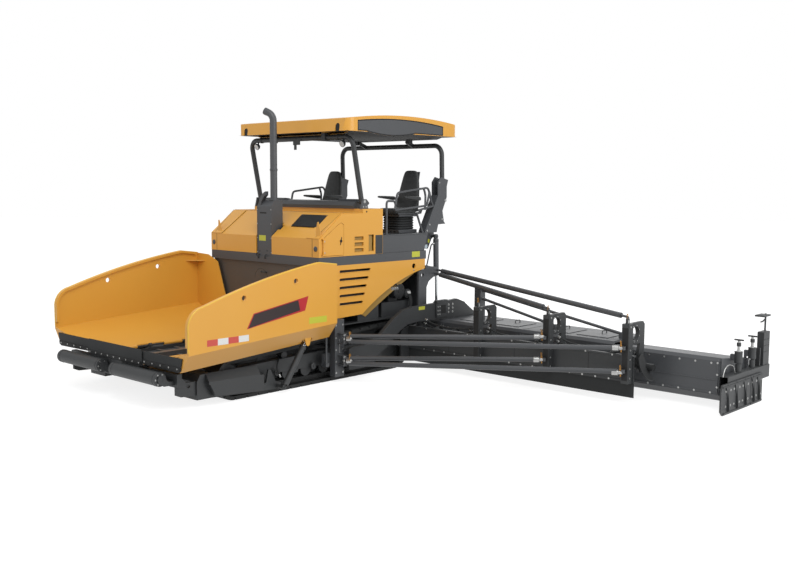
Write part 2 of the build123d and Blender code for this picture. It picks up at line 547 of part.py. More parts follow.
EXHAUST_Y = 140.0
CASING_X = (410.0, 625.0)
CASING_Y = (-125.0, 205.0)
with BuildPart() as exhaust_stack:
    side_plate([(600, BAND_Z + 90), (CASING_X[1], BAND_Z + 90), (CASING_X[1], 2480), (CASING_X[1] - 60, 2570),
                (CASING_X[0], 2570), (CASING_X[0], HOOD_BASE_Z + 5), (600, HOOD_BASE_Z + 5)],
               CASING_Y[0], CASING_Y[1] - CASING_Y[0])
    with BuildLine() as pipe:
        FilletPolyline((520, EXHAUST_Y, 2560), (520, EXHAUST_Y, 3812), (575, EXHAUST_Y - 125, 3876), radius=130)
    with BuildSketch(Plane(origin=(520, EXHAUST_Y, 2560), z_dir=(0, 0, 1))):
        Circle(52)
    sweep(path=pipe.line)
write(exhaust_stack, "exhaust_stack")

# ---------------------------------------------------------------- engine bay sides
PANEL_THICK = 22.0
with BuildPart() as side_panels:
    with BuildSketch(Plane.XZ.offset(-(HOOD_HALF - PANEL_THICK))) as panel_side:
        with BuildLine():
            Polyline((-220, 905), (560, 880), (560, BAND_Z), (-1610, BAND_Z), (-1610, 1500), (-1420, 1462))
            ThreePointArc((-1420, 1462), (-760, 1228), (-220, 905))
        make_face()
        for louvre in range(5):
            with Locations((-70 + 20 * louvre, 1560 - 118 * louvre)):
                SlotOverall(640 - 40 * louvre, 44, mode=Mode.SUBTRACT)
        with Locations((-1350, 1550)):
            Circle(40, mode=Mode.SUBTRACT)
    extrude(amount=-PANEL_THICK)
    mirror(about=Plane.XZ)
write(side_panels, "side_panels")

with BuildPart() as engine_bay_units:
    block((-620, -180), (760, 1190), (FENDER_Z, 1300))
    block((-1400, -760), (700, 1120), (FENDER_Z, 1010))
    bar((-1080, 900, 1180), (-1080, 1190, 1180), 120)
    block((-1180, -980), (800, 1050), (1000, 1180))
    bar((-1300, 900, 1120), (-1300, 1170, 1120), 70)
    block((-1340, -1260), (820, 1000), (1000, 1120))
    mirror(about=Plane.XZ)
write(engine_bay_units, "engine_bay_units")

# ---------------------------------------------------------------- operator's platform
def platform_rear(z):
    """The platform's raked rear end: its x at height z."""
    return DECK_REAR + 30 - 90 * (z - HOOD_BASE_Z) / (DECK_TOP_Z - HOOD_BASE_Z)


with BuildPart() as platform:
    side_plate([(platform_rear(HOOD_BASE_Z), HOOD_BASE_Z), (platform_rear(DECK_TOP_Z), DECK_TOP_Z),
                (HOOD_REAR - 1, DECK_TOP_Z), (HOOD_REAR - 1, HOOD_BASE_Z)], -1230, 2460)
write(platform, "platform")

with BuildPart() as dash_console:
    side_plate([(-210, 2450), (-440, 2450), (-470, 2500), (-440, 2566), (-250, 2548), (-200, 2500)], -1080, 2160)
write(dash_console, "dash_console")

SEAT_Y = 880.0
with BuildPart() as seat_bases:
    for side in (-1, 1):
        block((-1600, -1180), (side * SEAT_Y - 200, side * SEAT_Y + 200), (DECK_TOP_Z, 2110))
        block((-1570, -1210), (side * SEAT_Y - 170, side * SEAT_Y + 170), (2110, 2310))
        block((-1600, -1180), (side * SEAT_Y - 210, side * SEAT_Y + 210), (2310, 2340))
        for arm in (-1, 1):
            block((-1560, -1100), (side * SEAT_Y + arm * 275 - 18, side * SEAT_Y + arm * 275 + 18), (2560, 2590))
            block((-1560, -1520), (side * SEAT_Y + arm * 275 - 18, side * SEAT_Y + arm * 275 + 18), (2325, 2590))
            block((-1560, -1520), (side * SEAT_Y + arm * 200, side * SEAT_Y + arm * 275), (2310, 2340))
write(seat_bases, "seat_bases")

with BuildPart() as seat_cushions:
    for side in (-1, 1):
        block((-1560, -1080), (side * SEAT_Y - 245, side * SEAT_Y + 245), (2340, 2450))
        side_plate([(-1560.3, 2350), (-1560.3, 2450), (-1640, 2800), (-1690, 3030), (-1780, 3030), (-1760, 2800),
                    (-1670, 2400), (-1640, 2350)], side * SEAT_Y - 235, 470)
write(seat_cushions, "seat_cushions")

RAIL_R = 17.0
with BuildPart() as handrails:
    for rail_y, front_x in ((1205.0, -1000.0),):
        bar((front_x, rail_y, DECK_TOP_Z), (front_x, rail_y, 2560), RAIL_R)
        bar((DECK_REAR + 40, rail_y, DECK_TOP_Z), (DECK_REAR + 40, rail_y, 2560), RAIL_R)
        bar((front_x, rail_y, 2560), (DECK_REAR + 40, rail_y, 2560), RAIL_R)
        bar((front_x, rail_y, 2310), (DECK_REAR + 40, rail_y, 2310), RAIL_R)
    mirror(about=Plane.XZ)
write(handrails, "handrails")

# ---------------------------------------------------------------- rear frame
COLUMN_Y = (1225.0, 1262.0)
COLUMN_X = (-1640.0, -1450.0)
BAY_DECK = (FENDER_Z - 16, FENDER_Z)
with BuildPart() as rear_frame:
    block((DECK_REAR, CHASSIS_REAR), (-COLUMN_Y[0], COLUMN_Y[0]), BAY_DECK)
    cross_plate([(-1150, FENDER_Z), (1150, FENDER_Z), (1150, BAND_Z), (-1150, BAND_Z)], DECK_REAR, 16)
    for side in (-1, 1):
        start = COLUMN_Y[0] if side > 0 else -COLUMN_Y[1]
        side_plate([(COLUMN_X[1], 690), (COLUMN_X[1], 1458), (-1612, 1490), (-1622, 1545), (-1740, 1525),
                    (-1930, 1500), (-1930, 1370), (-1800, 1350), (-1690, 1290), (COLUMN_X[0], 1200),
                    (COLUMN_X[0], 760), (-1580, 690)], start, COLUMN_Y[1] - COLUMN_Y[0])
        bar((LASH_REAR[0], start - 10, LASH_REAR[1]), (LASH_REAR[0], start + 50, LASH_REAR[1]), LASH_R,
            mode=Mode.SUBTRACT)
    block((-1600, -1380), (-110, 110), (680, FENDER_Z - 10))
write(rear_frame, "rear_frame")

# ---------------------------------------------------------------- augers and what carries them
BRACKET_Y = (2600.0, 3800.0, 5000.0)
BRACKET_MID = 100.0              # middle of a bracket's channel, out from its edge
HANGER_HALF = 20.0
AUGER_INNER = 112.0
SIDE_PLATE_Y = (1262.0, 1290.0)
SHAFT_BORE_R = AUGER_SHAFT_R + FIT_GAP
with BuildPart() as auger_case:
    side_plate([(-1600, 680), (-1600, 430), (AUGER_X - 70, 350), (AUGER_X + 70, 350), (-1370, 430), (-1370, 680)],
               -AUGER_INNER + 2, 2 * AUGER_INNER - 4)
write(auger_case, "auger_case")

with BuildPart() as auger_side_plates:
    side_plate([(-1020, 140), (-1020, 540), (-1060, 600), (-1400, 640), (-1460, 760), (-1560, 760),
                (-1610, 640), (-1610, 300), (-1500, 200), (-1240, 140)],
               SIDE_PLATE_Y[0], SIDE_PLATE_Y[1] - SIDE_PLATE_Y[0])
    bar((AUGER_X, SIDE_PLATE_Y[0] - 10, AUGER_Z), (AUGER_X, SIDE_PLATE_Y[1] + 10, AUGER_Z), SHAFT_BORE_R,
        mode=Mode.SUBTRACT)
    mirror(about=Plane.XZ)
write(auger_side_plates, "auger_side_plates")

with BuildPart() as auger_brackets:
    for edge_y in BRACKET_Y:
        mid_y = edge_y + BRACKET_MID
        block((-1188, -1080), (mid_y - 50, mid_y + 50), (290, 1060))
        block((-1160, -1100), (mid_y - 12, mid_y + 12), (1060, 1125))
        side_plate([(-1100, 780), (-1100, 1060), (-1500, 1060), (-1540, 1020), (-1540, 440), (AUGER_X - 40, 390),
                    (AUGER_X + 40, 390), (-1410, 440), (-1410, 700), (-1430, 780)],
                   mid_y - HANGER_HALF, 2 * HANGER_HALF)
        bar((-1290, mid_y - 60, 915), (-1290, mid_y + 60, 915), 98, mode=Mode.SUBTRACT)
        bar((AUGER_X, mid_y - 60, AUGER_Z), (AUGER_X, mid_y + 60, AUGER_Z), SHAFT_BORE_R, mode=Mode.SUBTRACT)
    mirror(about=Plane.XZ)
write(auger_brackets, "auger_brackets")

# Flights in half turns, each a tilted half ring on the shaft, left out at the bearings.
FLIGHT_THICK = 16.0
FLIGHT_RUNS = ((AUGER_INNER + 40, SIDE_PLATE_Y[0] - 20), (SIDE_PLATE_Y[1] + 20, BRACKET_Y[0] + 60),
               (BRACKET_Y[0] + 140, BRACKET_Y[1] + 60), (BRACKET_Y[1] + 140, BRACKET_Y[2] + 60),
               (BRACKET_Y[2] + 140, AUGER_END - 20))
with BuildPart() as auger_left:
    bar((AUGER_X, AUGER_INNER, AUGER_Z), (AUGER_X, AUGER_END, AUGER_Z), AUGER_SHAFT_R)
    tilt = degrees(atan2(AUGER_PITCH / 2, 2 * AUGER_R))
    for run_start, run_end in FLIGHT_RUNS:
        halves = max(1, round((run_end - run_start) / (AUGER_PITCH / 2)))
        step = (run_end - run_start) / halves
        for half in range(halves):
            side = 1 if half % 2 == 0 else -1
            centre = (AUGER_X, run_start + (half + 0.5) * step, AUGER_Z)
            plane = Plane(origin=centre, x_dir=(1, 0, 0), z_dir=(0, 1, 0)).rotated((side * tilt, 0, 0))
            with BuildSketch(plane) as flight:
                Circle(AUGER_R - 4)
                Circle(AUGER_SHAFT_R - 8, mode=Mode.SUBTRACT)
                with Locations((side * AUGER_R, 0)):
                    Rectangle(2 * AUGER_R, 2 * AUGER_R + 10, mode=Mode.INTERSECT)
            extrude(amount=FLIGHT_THICK / 2, both=True)
write_pair(auger_left, "auger")

with BuildPart() as mouldboards:
    for start_y, end_y in ((SIDE_PLATE_Y[1], 2699), (2701, 3899), (3901, 5170)):
        block((MOULD_X - MOULD_THICK, MOULD_X), (start_y, end_y), (290, 640))
        block((MOULD_X - 60, MOULD_X - MOULD_THICK), (start_y, end_y), (620, 640))
    mirror(about=Plane.XZ)
write(mouldboards, "mouldboards")

with BuildPart() as mouldboard_skirts:
    block((MOULD_X - MOULD_THICK - 10, MOULD_X - MOULD_THICK), (SIDE_PLATE_Y[1] + 2, 5170), (95, 330))
    mirror(about=Plane.XZ)
write(mouldboard_skirts, "mouldboard_skirts")

# ---------------------------------------------------------------- tow-point guides
GUIDE_X = (300.0, 480.0)
GUIDE_Y = (1300.0, 1400.0)
ANCHOR_X = 392.0
ANCHOR_Y = 1500.0
ANCHOR_PIN_R = 12.0
ANCHOR_Z = (321.0, 635.0)
ROD_OFFSET = 38.0               # two rods on each anchor pin, one above the other
TIE_R = 32.0
TIE_EYE_R = 26.0
TIE_EYE_HALF = 22.0
with BuildPart() as guide_columns:
    block(GUIDE_X, GUIDE_Y, (80, 900))
    block((GUIDE_X[0], GUIDE_X[1]), (TRACK_OUTER - 25, GUIDE_Y[0]), (FENDER_Z - 16, FENDER_Z + 20))
    block((GUIDE_X[0] + 30, GUIDE_X[1] - 30), (GUIDE_Y[0] + 20, GUIDE_Y[1] - 20), (60, 910), mode=Mode.SUBTRACT)
    for anchor_z in ANCHOR_Z:
        for lug_z in (-1, 1):
            mid_z = anchor_z + lug_z * (ROD_OFFSET + TIE_EYE_HALF + 9)
            block((ANCHOR_X - 40, ANCHOR_X + 40), (GUIDE_Y[1], ANCHOR_Y + 20), (mid_z - 8, mid_z + 8))
        bar((ANCHOR_X, ANCHOR_Y, anchor_z - 80), (ANCHOR_X, ANCHOR_Y, anchor_z + 80), ANCHOR_PIN_R)
    mirror(about=Plane.XZ)
write(guide_columns, "guide_columns")

BRACKET_FACE = -1080.0
ROD_TARGETS = ((BRACKET_Y[1] + BRACKET_MID, 1), (BRACKET_Y[2] + BRACKET_MID, -1))
TIE_END_X = BRACKET_FACE + 34
with BuildPart() as tie_rods:
    for anchor_z, rise in zip(ANCHOR_Z, (135.0, 120.0)):
        for target_y, level in ROD_TARGETS:
            start = Vector(ANCHOR_X, ANCHOR_Y, anchor_z + level * ROD_OFFSET)
            end = Vector(TIE_END_X, target_y, anchor_z + rise)
            run = (end - start).normalized()
            bar(tuple(start + run * 18), tuple(start + run * 80), 15)
            bar(tuple(start + run * 75), tuple(end - run * 75), TIE_R)
            bar(tuple(end - run * 80), tuple(end - run * 18), 15)
            for eye in (start, end):
                bar((eye.X, eye.Y, eye.Z - TIE_EYE_HALF), (eye.X, eye.Y, eye.Z + TIE_EYE_HALF), TIE_EYE_R)
            bar((start.X, start.Y, start.Z - 60), (start.X, start.Y, start.Z + 60), ANCHOR_PIN_R + FIT_GAP,
                mode=Mode.SUBTRACT)
            block((BRACKET_FACE, TIE_END_X), (end.Y - 12, end.Y + 12), (end.Z - 20, end.Z + 20))
    mirror(about=Plane.XZ)
write(tie_rods, "tie_rods")

GOOSE = ((-1890.0, 1455.0), (-1850.0, 1400.0))   # pins of the upper braces on the column, X and Z
UPPER_TUBE_R = 36.0
UPPER_END_R = 16.0
BRACKET_TOP = 1125.0
with BuildPart() as upper_braces:
    for (pin_x, pin_z), edge_y in zip(GOOSE, (BRACKET_Y[2], BRACKET_Y[1])):
        start = Vector(pin_x, COLUMN_Y[1] + 36, pin_z)
        end = Vector(-1130, edge_y + BRACKET_MID, BRACKET_TOP + 22)
        run = (end - start).normalized()
        bar((pin_x, COLUMN_Y[1], pin_z), (pin_x, COLUMN_Y[1] + 50, pin_z), UPPER_END_R)
        bar(tuple(start), tuple(end), UPPER_END_R)
        bar(tuple(start + run * 90), tuple(end - run * 110), UPPER_TUBE_R)
        bar((end.X, end.Y, BRACKET_TOP), (end.X, end.Y, BRACKET_TOP + 25), 20)
    mirror(about=Plane.XZ)
write(upper_braces, "upper_braces")

LEVEL_X = 590.0
LEVEL_Y = 1340.0
LEVEL_ROD_R = 16.0
with BuildPart() as levelling_cylinders:
    bar((LEVEL_X, LEVEL_Y, 700), (LEVEL_X, LEVEL_Y, 1150), 38)
    block((GUIDE_X[1], LEVEL_X), (LEVEL_Y - 20, LEVEL_Y + 20), (820, 880))
    bar((LEVEL_X, LEVEL_Y, 690), (LEVEL_X, LEVEL_Y, 1130), LEVEL_ROD_R + FIT_GAP, mode=Mode.SUBTRACT)
    mirror(about=Plane.XZ)
write(levelling_cylinders, "levelling_cylinders")

with BuildPart() as tow_carriage:
    block((80, LEVEL_X + 30), (GUIDE_Y[0] - 28, GUIDE_Y[0] - 4), (240, 420))
    block((80, GUIDE_X[0] - 12), (GUIDE_Y[0] - 6, ARM_INNER - 6), (240, 420))
    bar((TOW_PIN_X, ARM_INNER - 10, TOW_PIN_Z), (TOW_PIN_X, ARM_INNER + ARM_THICK + 18, TOW_PIN_Z), TOW_PIN_R)
    block((LEVEL_X - 30, LEVEL_X + 30), (GUIDE_Y[0] - 6, LEVEL_Y + 24), (240, 290))
    bar((LEVEL_X, LEVEL_Y, 285), (LEVEL_X, LEVEL_Y, 960), LEVEL_ROD_R)
    mirror(about=Plane.XZ)
write(tow_carriage, "tow_carriage")

# ---------------------------------------------------------------- tow arms and screed
LIFT_Y = 1180.0
LIFT_EYE = (-1975.0, 900.0)      # pin of the lift rod, X and Z
LIFT_TOP = (-1950.0, 1985.0)     # pin of the lift cylinder
LIFT_PIN_R = 18.0
ARM_OUTER = ARM_INNER + ARM_THICK
SCREED_SEAT = SCREED_TOP + SEAT_GAP
with BuildPart() as tow_arms:
    side_plate([(300, 180), (300, 470), (240, 490), (0, 490), (-330, 590), (-650, 820), (-840, 920), (-1040, 950),
                (-1700, 965), (-2110, 990), (-2310, 920), (-2560, 750), (-2560, SCREED_SEAT),
                (-1760, SCREED_SEAT), (-1700, 712), (-1170, 720), (-940, 700), (-780, 630), (-550, 450), (-240, 290),
                (0, 170), (240, 170)], ARM_INNER, ARM_THICK)
    bar((TOW_PIN_X, ARM_INNER - 5, TOW_PIN_Z), (TOW_PIN_X, ARM_OUTER + 5, TOW_PIN_Z), TOW_PIN_R + FIT_GAP,
        mode=Mode.SUBTRACT)
    block((-2110, -1860), (1130, ARM_INNER), (SCREED_SEAT, 830))
    for ear_y in (LIFT_Y - 42, LIFT_Y + 30):
        side_plate([(LIFT_EYE[0] - 60, 830), (LIFT_EYE[0] - 30, 930), (LIFT_EYE[0] + 30, 930),
                    (LIFT_EYE[0] + 60, 830)], ear_y, 12)
    mirror(about=Plane.XZ)
write(tow_arms, "tow_arms")

SCREED_WALL = 24.0
END_FALL = 140.0         # how much lower the outermost sections lie at the back
SCREED_JOINTS = (-SCREED_END, -4560.0, -3050.0, -1530.0, 0.0, 1530.0, 3050.0, 4560.0, SCREED_END)
with BuildPart() as screed_body:
    for start_y, end_y in zip(SCREED_JOINTS, SCREED_JOINTS[1:]):
        fall = END_FALL if max(-start_y, end_y) == SCREED_END else 0
        top_z = SCREED_TOP - 0.3 * fall
        side_plate([(SCREED_FRONT, 190), (SCREED_FRONT, top_z - 40), (SCREED_FRONT - 40, top_z),
                    (SCREED_REAR, SCREED_TOP - fall), (SCREED_REAR, 190), (SCREED_REAR + 60, 112),
                    (SCREED_FRONT - 80, 112)], start_y + 0.3, end_y - start_y - 0.6)
        side_plate([(SCREED_FRONT - SCREED_WALL, 200), (SCREED_FRONT - SCREED_WALL, top_z - 50),
                    (SCREED_FRONT - 50, top_z - SCREED_WALL),
                    (SCREED_REAR + SCREED_WALL, SCREED_TOP - fall - SCREED_WALL), (SCREED_REAR + SCREED_WALL, 200),
                    (SCREED_REAR + 68, 112 + SCREED_WALL), (SCREED_FRONT - 88, 112 + SCREED_WALL)],
                   start_y - 1, end_y - start_y + 2, mode=Mode.SUBTRACT)
write(screed_body, "screed_body")

with BuildPart() as screed_soles:
    for start_y, end_y in zip(SCREED_JOINTS, SCREED_JOINTS[1:]):
        side_plate([(SCREED_FRONT - 80, 112), (SCREED_FRONT - 100, SCREED_BOTTOM), (SCREED_REAR + 80, SCREED_BOTTOM),
                    (SCREED_REAR + 60, 112)],
                   start_y + 0.3, end_y - start_y - 0.6)
write(screed_soles, "screed_soles")

with BuildPart() as screed_walkway:
    for start_y, end_y in ((-SCREED_END, -3060), (-3040, -1540), (-1040, 1040), (1540, 3040), (3060, SCREED_END)):
        block((SCREED_REAR - 260, SCREED_REAR), (start_y + 40, end_y - 40), (330, 360))
write(screed_walkway, "screed_walkway")

TOWER_Y = 2000.0
BRACE_R = 22.0
with BuildPart() as screed_braces:
    block((-2120, -2000), (TOWER_Y - 60, TOWER_Y + 60), (SCREED_SEAT - SEAT_GAP, 1230))
    for start_z, end_y in ((1190, 4500), (1060, 3400)):
        bar((-2060, TOWER_Y, start_z), (-2060, end_y, SCREED_TOP + 60), BRACE_R)
        block((-2100, -2020), (end_y - 30, end_y + 30), (SCREED_TOP, SCREED_TOP + 80))
    mirror(about=Plane.XZ)
write(screed_braces, "screed_braces")

SPINDLES = (-2040.0, -2460.0)
TUBE_WIDTH = 120.0               # runner tube of a gate, inside its plate
TUBE_Y = (GATE_Y - TUBE_WIDTH, GATE_Y)
SPINDLE_Y = GATE_Y - 70.0
SPINDLE_R = 17.0
SLEEVE_R = 30.0
TUBE_Z = (290.0, 460.0)
with BuildPart() as end_frames:
    side_plate([(-1740, 120), (-1740, SCREED_TOP - 0.3 * END_FALL), (SCREED_REAR, SCREED_TOP - END_FALL),
                (SCREED_REAR, 120)], SCREED_END, 20)
    for spindle_x in SPINDLES:
        bar((spindle_x, SPINDLE_Y, TUBE_Z[1] + GATE_TRAVEL + MOVE_GAP), (spindle_x, SPINDLE_Y, 720), SLEEVE_R)
        block((spindle_x - 25, spindle_x + 25), (SCREED_END + 20, SPINDLE_Y), (600, 680))
        block((spindle_x - 25, spindle_x + 25), (SCREED_END, SCREED_END + 20), (400, 680))
        bar((spindle_x, SPINDLE_Y, 480), (spindle_x, SPINDLE_Y, 740), SPINDLE_R + FIT_GAP, mode=Mode.SUBTRACT)
    mirror(about=Plane.XZ)
write(end_frames, "end_frames")

GATE_THICK = 20.0
TUBE_FRONT = -1600.0
with BuildPart() as end_gate_left:
    side_plate([(-1370, 60), (-1370, 300), (-1400, 390), (-2235, 390), (-2235, 5), (-1430, 5)], GATE_Y, GATE_THICK)
    side_plate([(-2245, 5), (-2245, 390), (-2590, 390), (-2610, 300), (-2610, 5)], GATE_Y, GATE_THICK)
    block((TAIL_X, TUBE_FRONT), TUBE_Y, TUBE_Z)
    block((TAIL_X + 10, TUBE_FRONT + 10), (TUBE_Y[0] + 8, TUBE_Y[1] - 8), (TUBE_Z[0] + 8, TUBE_Z[1] - 8),
          mode=Mode.SUBTRACT)
    for spindle_x in SPINDLES:
        bar((spindle_x, SPINDLE_Y, TUBE_Z[1] - 8), (spindle_x, SPINDLE_Y, 860), SPINDLE_R)
        bar((spindle_x, SPINDLE_Y, 790), (spindle_x, SPINDLE_Y, 830), 26)
        bar((spindle_x, SPINDLE_Y - 60, 868), (spindle_x, SPINDLE_Y + 60, 868), 10)
    block((-2610, -2590), (TUBE_Y[0] + 20, TUBE_Y[1] - 20), (TUBE_Z[1], 700))
    block((TAIL_X + 10, -2680), (TUBE_Y[0] + 20, TUBE_Y[1] - 10), (TUBE_Z[1], 900))
    bar((TAIL_X + 30, SPINDLE_Y, 895), (TAIL_X + 30, SPINDLE_Y, 1130), 12)
write_pair(end_gate_left, "end_gate")

# ---------------------------------------------------------------- lift cylinders
LIFT_RUN = Vector(LIFT_EYE[0] - LIFT_TOP[0], 0, LIFT_EYE[1] - LIFT_TOP[1])
LIFT_AXIS = LIFT_RUN.normalized()
LIFT_BARREL_R = 44.0
LIFT_BARREL_LENGTH = 600.0
LIFT_ROD_R = 22.0


def along_lift(run):
    """Point on the lift cylinder's centre line, run down from its upper pin."""
    return (LIFT_TOP[0] + LIFT_AXIS.X * run, LIFT_Y, LIFT_TOP[1] + LIFT_AXIS.Z * run)


LIFT_BORE_R = 34.0
LIFT_GLAND = 26.0                # end of the barrel that guides the rod
PISTON_RUN = (522.0, 552.0)      # the piston, which the rod can also slide through
with BuildPart() as lift_cylinders:
    bar((LIFT_TOP[0], LIFT_Y - 20, LIFT_TOP[1]), (LIFT_TOP[0], LIFT_Y + 20, LIFT_TOP[1]), 38)
    bar(along_lift(36), along_lift(LIFT_BARREL_LENGTH), LIFT_BARREL_R)
    bar(along_lift(60), along_lift(LIFT_BARREL_LENGTH - LIFT_GLAND), LIFT_BORE_R, mode=Mode.SUBTRACT)
    bar(along_lift(60), along_lift(LIFT_BARREL_LENGTH), LIFT_ROD_R + FIT_GAP, mode=Mode.SUBTRACT)
    bar((LIFT_TOP[0], LIFT_Y - 60, LIFT_TOP[1]), (LIFT_TOP[0], LIFT_Y + 60, LIFT_TOP[1]), LIFT_PIN_R + FIT_GAP,
        mode=Mode.SUBTRACT)
    mirror(about=Plane.XZ)
write(lift_cylinders, "lift_cylinders")

with BuildPart() as lift_pistons:
    bar(along_lift(PISTON_RUN[0]), along_lift(PISTON_RUN[1]), LIFT_BORE_R - FIT_GAP)
    bar(along_lift(PISTON_RUN[0]), along_lift(PISTON_RUN[1]), LIFT_ROD_R + FIT_GAP, mode=Mode.SUBTRACT)
    mirror(about=Plane.XZ)
write(lift_pistons, "lift_pistons")

with BuildPart() as lift_rods:
    bar(along_lift(430), (LIFT_EYE[0], LIFT_Y, LIFT_EYE[1]), LIFT_ROD_R)
    bar((LIFT_EYE[0], LIFT_Y - 20, LIFT_EYE[1]), (LIFT_EYE[0], LIFT_Y + 20, LIFT_EYE[1]), 32)
    mirror(about=Plane.XZ)
write(lift_rods, "lift_rods")

# ---------------------------------------------------------------- canopy
HOOP_R = 38.0
HOOP_RUN = (190.0, 938.0)        # from a hoop's foot pin to its pin on the roof, the same at both
FRONT_FOOT = (-290.0, 2556.0)
REAR_FOOT = (-2140.0, 2556.0)
REAR_BAR = (-2115.0, 3430.0)     # cross bar of the rear hoop, behind and below its roof pins
FRONT_HOOP_Y = 1160.0
REAR_HOOP_Y = 1145.0
ARM_PLATES = ((1075.0, 1100.0), (1190.0, 1214.0))    # inner and outer plate of each rear arm
HOOP_PIN_R = 14.0
HOOP_CORNER_R = 150.0
ROOF_BASE_Z = FRONT_FOOT[1] + HOOP_RUN[1] + 2 * HOOP_R
ROOF_TOP_Z = ROOF_BASE_Z + ROOF_RISE


def hoop_path(foot, top, half):
    """Corners of a hoop: left foot, left top, right top, right foot."""
    return [(foot[0], half, foot[1]), (top[0], half, top[1]), (top[0], -half, top[1]), (foot[0], -half, foot[1])]


ARM_HEAD = [(-1650, 2080), (-1959, 2645), (-1956, 2848), (-2025, 2928), (-2203, 2884), (-2169, 2781), (-2171, 2609),
            (-2068, 2393), (-2106, 2221), (-2142, 2185), (-1965, 2178)]


with BuildPart() as canopy_feet:
    for side in (-1, 1):
        inner = 1202 if side > 0 else -1226
        side_plate([(-215, HOOD_STEP_Z), (-250, 2592), (-330, 2592), (-365, HOOD_STEP_Z)], inner, 24)
        bar((FRONT_FOOT[0], side * 1100, FRONT_FOOT[1]), (FRONT_FOOT[0], side * 1204, FRONT_FOOT[1]), HOOP_PIN_R)
        for (near_y, far_y), low in zip(ARM_PLATES, ([(-2003, 1983), (-1933, 1940), (-1850, 1790), (platform_rear(1800), 1800),
                                                      (platform_rear(DECK_TOP_Z), DECK_TOP_Z)], [(-1930, DECK_TOP_Z)])):
            side_plate(ARM_HEAD + low + [(-1650, DECK_TOP_Z)], near_y if side > 0 else -far_y, far_y - near_y)
        web_y = ARM_PLATES[0][1] if side > 0 else -ARM_PLATES[1][0]
        side_plate([(-1650, 2080), (-1959, 2645), (-1976, 2636), (-1668, 2073)], web_y, ARM_PLATES[1][0] - ARM_PLATES[0][1])
        bar((REAR_FOOT[0], side * (ARM_PLATES[0][1] - 2), REAR_FOOT[1]),
            (REAR_FOOT[0], side * (ARM_PLATES[1][0] + 2), REAR_FOOT[1]), HOOP_PIN_R)
        bar((LIFT_TOP[0], side * (ARM_PLATES[0][1] - 2), LIFT_TOP[1]),
            (LIFT_TOP[0], side * (LIFT_Y + 30), LIFT_TOP[1]), LIFT_PIN_R)
write(canopy_feet, "canopy_feet")

FRONT_BAR = (FRONT_FOOT[0] + HOOP_RUN[0], FRONT_FOOT[1] + HOOP_RUN[1])
ROOF_PIN = (REAR_FOOT[0] + HOOP_RUN[0], REAR_FOOT[1] + HOOP_RUN[1])     # the rear hoop's pins on the roof
LUG_Y = 540.0
for hoop_name, foot, top, half in (("canopy_front_hoop", FRONT_FOOT, FRONT_BAR, FRONT_HOOP_Y),
                                   ("canopy_rear_hoop", REAR_FOOT, REAR_BAR, REAR_HOOP_Y)):
    with BuildPart() as hoop:
        with BuildLine() as path:
            FilletPolyline(*hoop_path(foot, top, half), radius=HOOP_CORNER_R)
        with BuildSketch(Plane(origin=(foot[0], half, foot[1]), z_dir=(top[0] - foot[0], 0, top[1] - foot[1]))):
            Circle(HOOP_R)
        sweep(path=path.line)
        for side in (-1, 1):
            with Locations((foot[0], side * half, foot[1])):
                Sphere(HOOP_R)
            bar((foot[0], side * half - 60, foot[1]), (foot[0], side * half + 60, foot[1]), HOOP_PIN_R + FIT_GAP,
                mode=Mode.SUBTRACT)
            if top == REAR_BAR:
                side_plate([(top[0], top[1] + 34), (ROOF_PIN[0] - 12, ROOF_PIN[1] + 26), (ROOF_PIN[0] + 12, ROOF_PIN[1] + 26),
                            (ROOF_PIN[0] + 26, ROOF_PIN[1]), (ROOF_PIN[0] + 10, ROOF_PIN[1] - 26), (top[0], top[1] - 34)],
                           side * LUG_Y - 15, 30)
                bar((ROOF_PIN[0], side * LUG_Y, ROOF_PIN[1]), (ROOF_PIN[0], side * (LUG_Y + 100), ROOF_PIN[1]), HOOP_PIN_R)
    write(hoop, hoop_name)


def roof_shape(inset):
    """The roof's outer form, or what its hollow takes away: a crowned box with round corners."""
    middle = (ROOF_FRONT + ROOF_REAR) / 2
    corners = [(ROOF_FRONT - inset, ROOF_BASE_Z), (ROOF_FRONT - 30 - inset, ROOF_TOP_Z - 20 - inset),
               (middle, ROOF_TOP_Z + 65 - inset), (ROOF_REAR + 30 + inset, ROOF_TOP_Z - 15 - inset),
               (ROOF_REAR + inset, ROOF_BASE_Z)]
    with BuildPart() as shape:
        with BuildSketch(Plane.XZ.offset(ROOF_HALF - inset)):
            with BuildLine():
                Line(corners[4], corners[0])
                Line(corners[0], corners[1])
                ThreePointArc(corners[1], corners[2], corners[3])
                Line(corners[3], corners[4])
            make_face()
        extrude(amount=-2 * (ROOF_HALF - inset))
        with BuildSketch(Plane.XY.offset(ROOF_BASE_Z - 10)):
            with Locations((middle, 0)):
                RectangleRounded(ROOF_FRONT - ROOF_REAR - 2 * inset, 2 * (ROOF_HALF - inset), ROOF_CORNER_R - inset)
        extrude(amount=400, mode=Mode.INTERSECT)
    return shape.part


